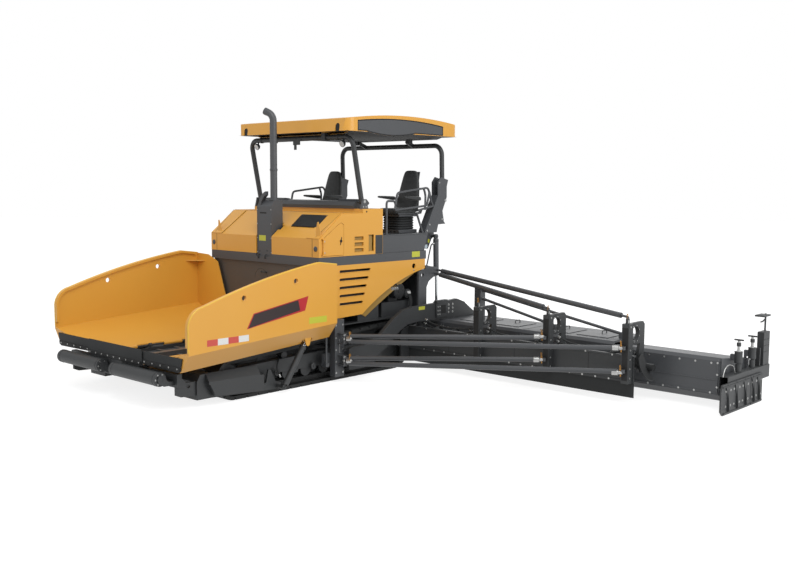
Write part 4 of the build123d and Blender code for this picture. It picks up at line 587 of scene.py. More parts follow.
class PAVER_OT_hood(bpy.types.Operator):
    """Raised side strips, seams, tabs, latches and the intake screen of the engine hood"""
    bl_idname = "paver.hood"
    bl_label = "Hood"

    def execute(self, context):
        head = SLOPE_LENGTH - 4
        raised = [on_slope([(0, 985), (head, 930), (head, 1246), (0, 1246)], 0, 12),
                  plate([(186, 930), (-222, 930), (-222, 1246), (186, 1246)], SLOPE_HEAD[1], 10, "z")]
        fit_both("hood_strips", raised, "yellow", bevel=0.005)
        seams = [on_slope([(2, 979), (head, 924), (head, 930), (2, 985)], 0, 2),
                 on_slope([(30, 1160), (head - 2, 1238), (head - 2, 1242), (30, 1166)], 11.5, 1.2),
                 strip((1106, 1782), (1112, 2036), HOOD_FRONT, 1.4, "x")]
        fit_both("hood_seams", seams, "black")
        tabs = ([(1152, 2062), (1240, 2062), (1236, 2180), (1200, 2282), (1176, 2276), (1152, 2170)],
                [(-1118, 2062), (-1032, 2062), (-1060, 2180), (-1092, 2252), (-1114, 2246)])
        fit_one("hood_tabs", [plate(outline, 596, 10, "x") for outline in tabs], "yellow", bevel=0.002)
        latch = [(0, 38), (5, 38), (9, 30), (9, 12), (14, 10), (14, 2)]
        fit_one("hood_latches", [turned(latch, (HOOD_FRONT, y, 1900), X, 24) for y in (1180, -1180)], "grey")
        slats = [on_slope([(climb, 470), (climb + 8, 470), (climb + 8, 990), (climb, 990)], 13.5, 4)
                 for climb in range(252, 516, 22)]
        fit_one("intake_slats", slats, "deep_grey", slot="trim_plastic", bevel=0.001)
        screws = [slope_point(climb, y, 13) for climb in (246, 502) for y in (462, 998)]
        fit_one("intake_screws", [bolt_row(screws, (SLOPE_OUT[0], 0, SLOPE_OUT[1]), 7)], "zinc")
        return {"FINISHED"}


class PAVER_OT_hood_sides(bpy.types.Operator):
    """Slot frames and the painted shade behind the slots, gap and hole of the hood's sides, and hinge bolts, latch and
    rim of the doors
    """
    bl_idname = "paver.hood_sides"
    bl_label = "Hood sides"

    def execute(self, context):
        slots = (1830, 1915, 2000)
        frames = [side for z in slots for side in opening_rim((-240, z), (-60, z + 50), 8, 7, HOOD_SIDE, 3, "y")]
        frames += opening_rim((-460, 1830), (-350, 2070), 8, 8, HOOD_SIDE, 3, "y")
        fit_both("hood_slot_frames", frames, "yellow", bevel=0.001)
        # Darker yellow strips behind the slots are painted shade for the slots' insides.
        slot_shade = [strip((-238, z + 2), (-62, z + 40), SHADE_SHEET_SIDE, 3, "y") for z in slots]
        slot_shade.append(strip((-440, 1832), (-352, 2060), SHADE_SHEET_SIDE, 3, "y"))
        fit_both("hood_slot_painted_shade", slot_shade, "painted_shade_yellow")
        fit_both("hood_rear_gap", [strip((-645, 1782), (-492, 2060), HOOD_SIDE, 1.5, "y")], "deep_grey")
        fit_both("hood_side_hole", [turned([(-1, 13), (1.5, 13)], (-307, HOOD_SIDE, 2410), Y, 16)], "black")
        heads = [(540, HOOD_SIDE + 8, z) for z in (1845, 2005)]
        fit_pair("door_hinge_bolts", [bolt_row(heads, Y, 9)], "zinc", "door")
        latch = [plate([(196, 2052), (206, 2058), (232, 1948), (222, 1940)], HOOD_SIDE, 5, "y"),
                 ring((214, HOOD_SIDE, 2000), Y, 10, 22, 7, 18)]
        fit_pair("door_latch", latch, "black", "door", slot="trim_plastic", bevel=0.001)
        fit_pair("door_lower_rim", [strip((162, 1802), (540, 1807), HOOD_SIDE, 2, "y")], "yellow", "door")
        return {"FINISHED"}


class PAVER_OT_louvres(bpy.types.Operator):
    """Pressed lips round the side panels' louvres, the flange of their arch, their bolts and a blank label"""
    bl_idname = "paver.louvres"
    bl_label = "Louvres"

    def execute(self, context):
        lips, shadows = [], []
        bend, turn = 22, np.linspace(-np.pi / 2, np.pi / 2, 7)
        for row in range(5):
            x, z, half = -70 + 20 * row, 1560 - 118 * row, (640 - 40 * row) / 2 - bend
            right = [(x + half + bend * math.cos(t), z + bend * math.sin(t)) for t in turn]
            left = [(x - half - bend * math.cos(t), z - bend * math.sin(t)) for t in turn]
            path = at([(px, HOOD_SIDE, pz) for px, pz in right + left])
            lips.append(carried(circle(5, 8), path, Y, close=True))
            rear, front = x - half - 10, x + half + 14
            shadows.append(plate([(rear, z - 24), (front, z - 24), (front, z + 24), (rear, z - 12)], SHADE_SHEET_SIDE, 1.4,
                                 "y"))
        fit_both("louvre_shadows", shadows, "black")
        fit_both("louvre_lips", lips, "yellow")
        outer = arc((-1420, 1462), (-760, 1228), (-220, 905), 24)
        inner = arc((-330, 850), (-820, 1130), (-1430, 1440), 24)
        bead = carried(flat_bar(-4, 4, -44, 5), at([(x, 1239, z) for x, z in outer]), Y)
        # The arch's flange is real, but its darker yellow is painted shade where it turns in under the panel's edge.
        fit_both("arch_flange", [bead, plate(outer + inner, 1192, 8, "y")], "painted_shade_yellow")
        heads = [(-1350, HOOD_SIDE, 1485)] + [(520, HOOD_SIDE, z) for z in (920, 1240, 1600)]
        fit_both("side_panel_bolts", [bolt_row(heads, Y, 10)], "zinc")
        fit_one("band_label", [strip((-1492, 1688), (-1309, 1775), 1245, 1, "y")], "green_label")
        return {"FINISHED"}


class PAVER_OT_bulkhead(bpy.types.Operator):
    """Folded edges, bolts, handle and seam lines of the bulkhead behind the hopper"""
    bl_idname = "paver.bulkhead"
    bl_label = "Bulkhead"

    def execute(self, context):
        face = box_of("front_bulkhead")[1][0]
        ribs = [strip((-1210, 800), (1210, 830), face, 8, "x"), strip((-1222, 800), (-1180, 1775), face, 6, "x"),
                strip((1180, 800), (1222, 1775), face, 6, "x")]
        fit_one("bulkhead_ribs", ribs, "warm_grey", bevel=0.002)
        heads = [(face + 6, y, z) for y in (-1200, 1200) for z in np.linspace(860, 1740, 9)]
        fit_one("bulkhead_bolts", [bolt_row(heads, X, 9)], "zinc")
        handle = tube([(face, -60, 1500), (face + 34, -60, 1500), (face + 34, 60, 1500), (face, 60, 1500)], 7, 14)
        fit_one("bulkhead_handle", [handle], "deep_grey")
        line = at([(face, y, z) for y, z in arc((-224, 1400), (-76, 1548), (71, 1400), 20)])
        fit_one("bulkhead_seams", [carried(circle(2, 6), line, X), strip((-67, 1474), (-63, 1525), face, 1, "x")],
               "black")
        return {"FINISHED"}


class PAVER_OT_exhaust(bpy.types.Operator):
    """Open pipe end, shield at the pipe's foot, casing holes, hooks, edges, bolts and blank label of the exhaust"""
    bl_idname = "paver.exhaust"
    bl_label = "Exhaust"

    def execute(self, context):
        tip, run = (574, 20, 3872), (0.86, -0.32, 0.40)
        fit_one("exhaust_mouth", [turned([(0.5, 44), (1.5, 44)], tip, run, 28)], "black", slot="engine_iron")
        fit_one("exhaust_rim", [turned([(-62, 46), (-40, 53), (-4, 54), (0, 52)], tip, run, 28)], "grey")
        outer = arc((-93, 2397), (-60, 2610), (63, 2700), 12)
        inner = arc((-50, 2397), (-20, 2560), (63, 2640), 12)
        shield = [plate(outer + inner[::-1], 560, 60, "x"), ring((520, 140, 2566), Z, 51, 66, 26),
                  ring((520, 140, 3000), Z, 51, 58, 30)]
        fit_one("exhaust_shield", shield, "grey", bevel=0.003)
        front, edge_thick = 625, 4
        holes = [turned([(0, 11), (1.2, 11)], (front, y, z), X, 16) for y, z in ((-69, 1814), (97, 1822))]
        holes.append(strip((-60, 2372), (90, 2392), front, 1.2, "x"))
        fit_one("casing_holes", holes, "black")
        hooks = [tube([(front, y, 1765), (front + 28, y, 1760), (front + 28, y, 1712), (front + 4, y, 1706)], 8, 16)
                 for y in (-80, 76)]
        fit_one("casing_hooks", hooks, "deep_grey")
        fit_one("casing_label", [strip((-84, 1969), (70, 2050), front, 1, "x")], "green_label")
        edges = [strip((y, 1745), (y + 12, 2475), front, edge_thick, "x") for y in (-125, 193)]
        fit_one("casing_edges", edges, "grey", bevel=0.001)
        heads = [(front + edge_thick, y, z) for y in (-119, 199) for z in (1800, 2010, 2220, 2430)]
        fit_one("casing_bolts", [bolt_row(heads, X, 6)], "zinc")
        return {"FINISHED"}


# ------------------------------------------------------------------ operator's platform
SEAT_Y, DECK_TOP, PLATFORM_SIDE, REAR_PLATE = 880, 2056, 1230, -1640
SEAT_SEAMS = (-0.62, 0.62)


def stuffed(spine, widths, depths, front, power=4.0, channels=(), along_seams=()):
    """A stuffed pad carried along a spine of millimetre points. At station u, from -1 to 1, the section is the
    superellipse |s / width|^p + |t / depth|^p = 1, s sideways and t to the front; width and depth fall to nothing
    at the ends as (1 - |u|^7)^(1/7), the sides pull in between the corners by 3 %, and the front face crowns by
    a parabola across s. A sewn channel presses the front in by a narrow bell at its u, a lengthwise seam at its s."""
    sides, crowning, seam_depth, channel_width, seam_width = 56, 0.35, 7 * MM, 0.028, 0.03
    spine, front = at(spine), np.asarray(front, float)
    knots = np.linspace(-1, 1, len(spine))
    u = np.sin(knots * np.pi / 2)
    line = np.stack([np.interp(u, knots, spine[:, axis]) for axis in range(3)], axis=1)
    ends = np.maximum(np.maximum(1 - np.abs(u) ** 7, 0) ** (1 / 7), 0.02)
    pull = 1 - 0.03 * (1 - u ** 2)
    width, depth = (np.interp(u, knots, values) * MM * ends for values in (widths, depths))
    angle = np.linspace(0, 2 * np.pi, sides, endpoint=False)
    s, t = (np.sign(wave) * np.abs(wave) ** (2 / power) for wave in (np.cos(angle), np.sin(angle)))
    crown = np.maximum(t, 0) * (1 - s ** 2 * crowning)
    press = np.zeros((len(u), sides))
    for place in channels:
        press += np.exp(-((u[:, None] - place) / channel_width) ** 2) * (np.abs(s) < 0.97)
    for place in along_seams:
        press += np.exp(-((s - place) / seam_width) ** 2) * (np.abs(u[:, None]) < 0.9)
    height = depth[:, None] * np.where(t > 0, crown, t) - seam_depth * np.minimum(press, 1) * (t > 0.3)
    sideways = (width * pull)[:, None] * s
    points = line[:, None] + sideways[..., None] * np.array(Y, float) + height[..., None] * front
    faces = grid_faces(len(u), sides, close_cols=True) + end_faces(len(u), sides)
    points = points.reshape(-1, 3)
    return points, faces if volume(points, faces) > 0 else [face[::-1] for face in faces]


def volume(points, faces):
    """Signed volume of a closed shape: a sixth of the sum of triple products over fans of its faces."""
    return sum(np.dot(points[face[0]], np.cross(points[one], points[two]))
               for face in faces for one, two in zip(face[1:], face[2:])) / 6


def bellows_fold(centre, half, height):
    """One fold of a rubber bellows: a rounded square whose size goes out and back as a half sine over its
    height."""
    turn = np.linspace(0, 2 * np.pi, 40, endpoint=False)
    corner = (np.abs(np.cos(turn)) ** 5 + np.abs(np.sin(turn)) ** 5) ** (-1 / 5)
    rise = np.linspace(0, 1, 7)
    swell = 1 + 0.075 * np.sin(np.pi * rise)
    x = half[0] * swell[:, None] * (corner * np.cos(turn))
    y = half[1] * swell[:, None] * (corner * np.sin(turn))
    z = (rise * height)[:, None] + 0 * x
    points = at(np.stack([x, y, z], axis=-1) + np.asarray(centre, float)).reshape(-1, 3)
    return points, grid_faces(len(rise), len(turn), close_cols=True) + end_faces(len(rise), len(turn))


class PAVER_OT_seats(bpy.types.Operator):
    """Two suspension seats: stuffed cushions and backs, plastic shells, armrests, bellows and base slots"""
    bl_idname = "paver.seats"
    bl_label = "Seats"

    def execute(self, context):
        for y, word in ((SEAT_Y, "left"), (-SEAT_Y, "right")):
            spine = [(x, y, 2392 + 8 * ((x + 1320) / 240) ** 2) for x in np.linspace(-1556, -1084, 33)]
            seat = stuffed(spine, np.full(33, 240.0), np.full(33, 50.0), Z, channels=(-0.35, 0.25),
                           along_seams=SEAT_SEAMS)
            climb = np.linspace(0, 1, 41)
            spine = [(-1560 - 130 * c - 14 * math.sin(math.pi * c), y, 2372 + 655 * c) for c in climb]
            widths = 246 - 84 * climb - 30 * np.clip((climb - 0.5) / 0.5, 0, 1) ** 1.5
            back = stuffed(spine, widths, np.interp(climb, (0, 0.3, 1), (66, 56, 38)), (0.98, 0, 0.18),
                           channels=(-0.45, 0.1, 0.5), along_seams=SEAT_SEAMS)
            for name, shape in (("seat_cushion_" + word, seat), ("seat_back_" + word, back)):
                pad = make_piece(name, shape, "vinyl", "tractor", replaces=("seat_cushions",))
            shell = [(-1620, 2352), (-1655, 2420), (-1695, 2800), (-1736, 3010), (-1722, 3010), (-1668, 2800),
                     (-1622, 2420), (-1600, 2352)]
            wings = [(-1560, 2345), (-1130, 2345), (-1110, 2372), (-1550, 2366), (-1640, 2410), (-1690, 2420),
                     (-1660, 2352)]
            shells = [plate(shell, y - 150, 300, "y"), block((-1600, -1180), (y - 205, y + 205), (DECK_TOP, 2110)),
                      block((-1580, -1150), (y - 238, y + 238), (2312, 2346))]
            shells += [plate(wings, y + edge, 8, "y") for edge in (-247, 239)]
            fit_one("seat_shell_" + word, shells, "plastic", bevel=0.006, replaces=("seat_bases",))
            folds = [bellows_fold((-1390, y, z), (186, 176), 39) for z in range(2112, 2307, 39)]
            fit_one("seat_bellows_" + word, folds, "rubber")
            for side, arm in ((-1, "inner"), (1, "outer")):
                spine = [(x, y + side * 272, 2588 + 0.07 * (x + 1600)) for x in np.linspace(-1600, -1215, 15)]
                shape = stuffed(spine, np.full(15, 27.0), np.linspace(34, 16, 15), Z, power=3.0)
                pad = make_piece(f"armrest_{arm}_{word}", shape, "vinyl", "tractor")
            slots = [strip((x, 2070), (x + 60, 2092), y + 200, 1.5, "y") for x in range(-1560, -1160, 100)]
            slots += [strip((y + s, 2070), (y + s + 40, 2092), -1180, 1.5, "x") for s in range(-150, 170, 80)]
            fit_one("seat_base_slots_" + word, slots, "black")
        return {"FINISHED"}


class PAVER_OT_handrails(bpy.types.Operator):
    """Bent tube handrails beside the platform, with their feet"""
    bl_idname = "paver.handrails"
    bl_label = "Handrails"

    def execute(self, context):
        radius = context.scene.paver_fittings.rail_radius / MM
        y = box_of("handrails")[1][1] - radius
        runs = (((-777, DECK_TOP), (-777, 2562), (-965, 2556), (-980, 2450)),
                ((-965, 2451), (-1015, 2684), (-1707, 2760), (-1758, 2693), (-1700, 2489), (-1653, 2477),
                 (-960, 2420)),
                ((-1626, 2735), (-1663, 2646), (-1658, 2443), (-1654, 2412)),
                ((-1477, 2407), (-1845, 2472)), ((-1758, 2693), (-1796, 2551), (-1845, 2472)),
                ((-1453, 2376), (-1598, DECK_TOP)))
        tubes = [tube([(x, y, z) for x, z in run], radius, 55, 10) for run in runs]
        feet = [turned([(0, 34), (7, 34), (9, 18), (30, 17)], (x, y, DECK_TOP), Z, 18) for x in (-777, -1598)]
        fit_both("handrail_tubes", tubes + feet, "grey", replaces=("handrails",))
        return {"FINISHED"}


class PAVER_OT_console(bpy.types.Operator):
    """Instrument pods, knobs and lip of the dash console"""
    bl_idname = "paver.console"
    bl_label = "Console"

    def execute(self, context):
        outline = [(-455, 2500), (-300, 2552), (-345, 2590), (-430, 2586), (-486, 2530)]
        pods = [plate(outline, y - 260, 520, "y") for y in (-SEAT_Y, SEAT_Y)]
        fit_one("console_pods", pods, "plastic", bevel=0.008)
        knobs = [turned([(0, 9), (10, 8), (13, 5)], (-462, y + shift, 2560), (-0.75, 0, 0.66), 12)
                 for y in (-SEAT_Y, SEAT_Y) for shift in range(-190, 233, 47)]
        fit_one("console_knobs", knobs, "black", slot="trim_plastic")
        lip = plate([(-205, 2498), (-196, 2494), (-246, 2556), (-252, 2550)], -1082, 2164, "y")
        fit_one("console_lip", [lip], "grey")
        return {"FINISHED"}


class PAVER_OT_platform(bpy.types.Operator):
    """Tread strips and raised rims of the platform, with hatches and reflectors on the plate under its rear end"""
    bl_idname = "paver.platform"
    bl_label = "Platform"

    def execute(self, context):
        treads = [block((x, x + 30), (-640, 640), (DECK_TOP - 1, DECK_TOP + 4)) for x in range(-1590, -660, 62)]
        fit_one("platform_treads", treads, "deep_grey", bevel=0.001)
        rims = [strip((-1690, 2038), (-655, 2054), PLATFORM_SIDE, 5, "y"),
                strip((-1614, 1781), (-655, 1792), PLATFORM_SIDE, 5, "y"),
                strip((-668, 1792), (-655, 2038), PLATFORM_SIDE, 5, "y")]
        fit_both("platform_rims", rims, "grey", bevel=0.002)
        seam = REAR_PLATE - 1.2
        seams = [strip((y, 980), (y + 5, 1600), seam, 1.4, "x") for y in (70, 925)]
        seams += [strip((70, z), (930, z + 5), seam, 1.4, "x") for z in (980, 1595)]
        fit_both("rear_hatch_seams", seams, "black")
        corners = [(REAR_PLATE, y, z) for y in (110, 500, 890) for z in (1015, 1565)]
        fit_both("rear_hatch_bolts", [bolt_row(corners, (-1, 0, 0), 9)], "zinc")
        grip = REAR_PLATE - 38
        pull = tube([(REAR_PLATE, 430, 1440), (grip, 430, 1440), (grip, 570, 1440), (REAR_PLATE, 570, 1440)], 7, 14)
        fit_both("rear_hatch_pulls", [pull], "black")
        slots = [strip((620, z), (860, z + 12), REAR_PLATE - 1, 1.2, "x") for z in range(1100, 1340, 40)]
        fit_both("rear_hatch_slots", slots, "black")
        fit_both("rear_reflectors", [strip((985, 1570), (1065, 1620), REAR_PLATE - 4, 4.2, "x")], "red_tape")
        return {"FINISHED"}


# ------------------------------------------------------------------ canopy
class PAVER_OT_roof(bpy.types.Operator):
    """Dark side panels in a black rim of painted shadow, hem, black lining, blanked notches and saddle covers of the
    roof
    """
    bl_idname = "paver.roof"
    bl_label = "Roof"

    def execute(self, context):
        base = box_of("canopy_front_hoop")[1][2] + 38
        top = base + 200

        def panel(inset):
            wave = arc((-1360, base + 10 + inset), (-860, base - 42 + inset), (-290, base + 7 + inset), 20)
            front, rear = -110 - inset, -2010 + inset
            crown = arc((front, top - 42 - inset), (-900, top + 10 - inset), (rear, top - 50 - inset), 20)
            return crown + [(rear, base + 4 + inset)] + wave + [(front, base + 6 + inset)]

        trim = {"body": "roof", "slot": "trim_plastic"}
        # The black plate reaching 17 mm past the grey face all round is a painted shadow of the recess's edge.
        fit_both("roof_panel_painted_shadow", [plate(panel(0), 1257.6, 2, "y")], "black", **trim)
        fit_both("roof_panel_face", [plate(panel(17), 1258.4, 2.4, "y")], "grey", **trim)
        hem = arc((-1360, base + 9), (-860, base - 41), (-290, base + 6), 20)
        fit_both("roof_hem", [plate(hem, 1247.6, 2, "y")], "black", **trim)
        under = [(-1236, 4), (-1060, -4), (-940, -38), (940, -38), (1060, -4), (1236, 4)]
        section = [(y, base + z) for y, z in under] + [(y, base + z + 3) for y, z in under[::-1]]
        lining = [plate(section, -2238, 2111, "x"), strip((-124, -1236), (74, 1236), base + 1, 2, "z"),
                  strip((-2374, -1236), (-2240, 1236), base + 1, 2, "z")]
        fit_one("roof_lining", lining, "black", **trim)
        notch = [(1004.5, base + 1), (1095.5, base + 1)]
        notch += [(1050 + 45.5 * math.cos(t), base + 66 + 45.5 * math.sin(t)) for t in np.linspace(0, np.pi, 17)]
        backs = [strip((985, base + 2), (1115, base + 128), 62, 4, "x"), plate(notch, 64, 17, "x")]
        fit_both("roof_notch_backs", backs, "black", **trim)
        covers = [block((-154, -46), (558, 637), (3442, base - 8)), block((-1984, -1916), (558, 637), (3466, base - 8))]
        fit_both("roof_saddle_covers", covers, "deep_grey", "roof", bevel=0.003)
        return {"FINISHED"}


class PAVER_OT_hoops(bpy.types.Operator):
    """Lamp bracket, clamps, work lamps and pins of the canopy's hoops, and blank labels on their arms"""
    bl_idname = "paver.hoops"
    bl_label = "Hoops"

    def execute(self, context):
        outline = [(-161, 3492), (-161, 3455), (-92, 3455), (-92, 3400), (-70, 3400), (-70, 3327), (-12, 3327),
                   (-12, 3400), (69, 3400), (69, 3455), (93, 3455), (93, 3492)]
        fit_one("lamp_bracket", [plate(outline, -66, 8, "x")], "deep_grey", "front_hoop", bevel=0.002)
        clamps = [ring((-100, y, 3494), Y, 37, 46, 36) for y in (-900, -600, 564, 860)]
        fit_one("front_hoop_clamps", clamps, "deep_grey", "front_hoop")
        lamps, glasses, beam = [], [], (0.9, 0, -0.42)
        lamp_x, lamp_z, lens = -112, 3412, 54.5
        for y in (-980, 980):
            lamps += [turned([(0, 30), (22, 46), (48, 52), (54, 50)], (lamp_x, y, lamp_z), beam, 24),
                      block((lamp_x, lamp_x + 16), (y - 8, y + 8), (lamp_z, lamp_z + 58))]
            glasses.append(turned([(0, 45), (2, 44)], (lamp_x + lens * 0.906, y, lamp_z - lens * 0.423), beam, 24))
        fit_one("work_lamps", lamps, "black", "front_hoop", slot="trim_plastic")
        fit_one("lamp_glasses", glasses, "lamp_glass", "front_hoop")
        front, rear, arm_side = 1226, 1214, 1100
        pins = [bolt_row([(x, side, z) for x, z in places], Y, radius) for side, radius, places in (
            (front, 17, [(-290, 2556)]), (front, 8, [(-265, 2480), (-320, 2480)]), (rear, 17, [(-2140, 2556)]),
            (rear, 10, [(-1700, 2085), (-1760, 2180), (-1990, 2840), (-2060, 2260)]))]
        fit_both("hoop_pins", pins, "zinc")
        fit_one("arm_label_pale", [strip((-1835, 1800), (-1750, 1856), arm_side, 0.8, "y")], "pale_label")
        fit_one("arm_label", [strip((-1888, 1886), (-1846, 1944), arm_side, 0.8, "y")], "green_label")
        return {"FINISHED"}


# ------------------------------------------------------------------ tracks
class PAVER_OT_tracks(bpy.types.Operator):
    """Guards on the inner side of the tracks, and the rollers' hub covers"""
    bl_idname = "paver.tracks"
    bl_label = "Tracks"

    def execute(self, context):
        fit_both("track_inner_guards", [block((-560, 2080), (884, 892), (24, 340))], "deep_grey")
        hub = [(0, 46), (10, 46), (16, 34), (16, 20), (22, 18), (22, 4)]
        fit_both("roller_hubs", [turned(hub, (x, 1203, 250), Y, 20) for x in np.linspace(-620, 2050, 9)], "deep_grey")
        return {"FINISHED"}


# ------------------------------------------------------------------ tow arms, guides and rods
class PAVER_OT_tow_arms(bpy.types.Operator):
    """Edge plates, bolts, pin caps, window brackets and label of the tow arms"""
    bl_idname = "paver.tow_arms"
    bl_label = "Tow arms"

    def execute(self, context):
        outer = box_of("tow_arms")[1][1]
        bracket_thick = 26
        bracket = outer + bracket_thick
        top = [(300, 470), (240, 490), (0, 490), (-330, 590), (-650, 820), (-840, 920), (-1040, 950), (-1700, 965),
               (-2110, 990), (-2310, 920)]
        cap = carried(flat_bar(-34, 34, -4, 4), at([(x, outer - 30, z + 4) for x, z in top]))
        fit_both("tow_arm_caps", [cap], "deep_grey", "screed", bevel=0.002)
        heads = [(x, outer, z) for x in (-1900, -2000) for z in (800, 860, 920)]
        fit_both("tow_arm_bolts", [bolt_row(heads, Y, 13)], "zinc", "screed")
        boss = turned([(0, 70), (10, 70), (14, 62), (14, 36), (20, 34), (20, 6)], (150, outer, 300), Y, 24)
        fit_both("tow_pin_caps", [boss], "grey", "screed")
        frames = [plate([(-1860, 740), (-1580, 740), (-1580, 960), (-1860, 968)], outer, bracket_thick, "y"),
                  strip((-1850, 960), (-1590, 1010), outer - 40, 66, "y")]
        fit_both("tow_arm_brackets", frames, "deep_grey", "screed", bevel=0.004)
        fit_both("tow_arm_windows", [strip((-1800, 800), (-1690, 930), bracket, 1.5, "y")], "black", "screed")
        heads = [(x, bracket, z) for x in (-1660, -1615) for z in (790, 850, 910)]
        fit_both("tow_arm_bracket_bolts", [bolt_row(heads, Y, 9)], "zinc", "screed")
        fit_one("tow_arm_label", [strip((-1330, 895), (-1190, 946), outer, 0.8, "y")], "green_label", "screed")
        return {"FINISHED"}


def spring_clip(place):
    """An R-clip of bent wire standing on a pin: a straight leg, a round eye and a waved leg."""
    x, y, z = place
    return tube([(x, y, z - 30), (x, y, z + 46), (x + 14, y, z + 60), (x + 28, y, z + 46), (x + 16, y, z + 22),
                 (x + 26, y, z), (x + 14, y, z - 26)], 4, 10, 8)


class PAVER_OT_rods(bpy.types.Operator):
    """Plated sleeves, pins and spring clips of the tie rods and levelling cylinders, and bolts and scale of the
    guides"""
    bl_idname = "paver.rods"
    bl_label = "Rods"

    def execute(self, context):
        anchor_x, anchor_y, guide_side = 392, 1500, 1400
        zinc, brass = [], []
        for z, end_y, rise in ((321, 3900, 135), (635, 3900, 135), (321, 5100, 120), (635, 5100, 120)):
            start, end = np.array((anchor_x, anchor_y, z), float), np.array((-1046.0, end_y, z + rise))
            run = (end - start) / np.linalg.norm(end - start)
            pin = end - run * 30
            zinc += [rod(start + run * 40, start + run * 115, 38, 16, 4),
                     rod(end - run * 140, end - run * 60, 37, 16, 4), rod(end - run * 60, end - run * 4, 24, 12, 3)]
            brass += [spring_clip(start + run * 95 + (0, 0, 44)), spring_clip(pin + (0, 0, 40)),
                      rod(pin + (0, 0, -52), pin + (0, 0, 46), 9, 10, 2)]
        fit_both("tie_rod_sleeves", zinc, "zinc")
        fit_both("tie_rod_clips", brass, "brass")
        pins = [rod((anchor_x, anchor_y, z + low), (anchor_x, anchor_y, z + high), radius, 14, 3)
                for z in (321, 635) for low, high, radius in ((-62, 62, 17), (50, 64, 28))]
        fit_both("anchor_pins", pins, "zinc")
        sleeves = [rod((590, 1340, low), (590, 1340, high), radius, 18, crown)
                   for low, high, radius, crown in ((1010, 1165, 30, 4), (1165, 1200, 44, 6), (700, 720, 50, 4))]
        fit_both("levelling_sleeves", sleeves, "zinc")
        heads = [(x, guide_side, z) for x in (325, 455) for z in (140, 300, 470, 640, 820)]
        fit_both("guide_bolts", [bolt_row(heads, Y, 10)], "zinc")
        fit_both("guide_scale", [strip((385, 420), (395, 620), guide_side, 3, "y")], "zinc")
        return {"FINISHED"}


class PAVER_OT_brackets(bpy.types.Operator):
    """Ring flanges, channels, clips, bolts and hoses of the auger brackets"""
    bl_idname = "paver.brackets"
    bl_label = "Auger brackets"

    def execute(self, context):
        front = box_of("auger_brackets")[1][0]
        spans = (1500, 2700, 3900, 5100)
        shaft_x, shaft_z, pin_x = -1290, 915, -1134
        flanges, zinc, brass, channels, hoses = [], [], [], [], []
        for y in spans[1:]:
            flanges += [ring((shaft_x, y + shift, shaft_z), Y, 97, 118, 8, 32) for shift in (20, -28)]
            channels.append(strip((y - 40, 330), (y + 40, 1010), front - 3, 3.6, "x"))
            zinc += [bolt_circle((shaft_x, y + 28, shaft_z), 108, 8, 6, first=0.3),
                     bolt_row([(pin_x + 4, y + 50, z) for z in (360, 480, 600, 720, 1020)], Y, 9),
                     rod((pin_x, y, 1062), (pin_x, y, 1110), 16, 14, 3)]
            brass.append(spring_clip((pin_x, y, 1130)))
        for first, second in zip(spans, spans[1:]):
            for lift, inset in ((0, 60), (60, 80)):
                hoses.append(([(-1250, first + inset, 700 + lift), (-1230, first + 260, 640 + lift),
                               (-1225, (first + second) / 2, 610 + lift), (-1230, second - 260, 640 + lift),
                               (-1250, second - inset, 700 + lift)], 200))
        fit_both("bracket_flanges", flanges, "deep_grey", bevel=0.001)
        fit_both("bracket_channels", channels, "black")
        fit_both("bracket_bolts", zinc, "zinc")
        fit_both("bracket_clips", brass, "brass")
        fit_hoses("bracket", hoses, 11)
        return {"FINISHED"}


class PAVER_OT_mouldboards(bpy.types.Operator):
    """Stiffening ribs, seams and bolts of the mouldboards"""
    bl_idname = "paver.mouldboards"
    bl_label = "Mouldboards"

    def execute(self, context):
        face, side, _ = box_of("mouldboards")[1]
        low, high = 1560, side - 30
        top_rib, foot_rib = 8, 10
        ribs = [strip((low, 618), (high, 638), face, top_rib, "x"), strip((low, 300), (high, 320), face, foot_rib, "x")]
        fit_both("mouldboard_ribs", ribs, "deep_grey", bevel=0.002)
        seams = [strip((y, 292), (y + 5, 638), face, 1.5, "x") for y in (2100, 3300, 4500)]
        fit_both("mouldboard_seams", seams, "black")
        heads = [(face + foot_rib, y, 310) for y in np.arange(low + 60, high, 200)]
        heads += [(face + top_rib, y, 628) for y in np.arange(low + 100, high, 400)]
        fit_both("mouldboard_bolts", [bolt_row(heads, X, 9)], "zinc")
        return {"FINISHED"}


# ------------------------------------------------------------------ screed
SECTION_EDGES = (0, 1530, 3050, 4560, 6070)
SCREED_FRONT = -1720
LID_Z = (700, 709)
WALKWAY_RUNS = ((-6030, -3100), (-3000, -1580), (-1000, 1000), (1580, 3000), (3100, 6030))
SPINDLE_X = (-2040, -2460)


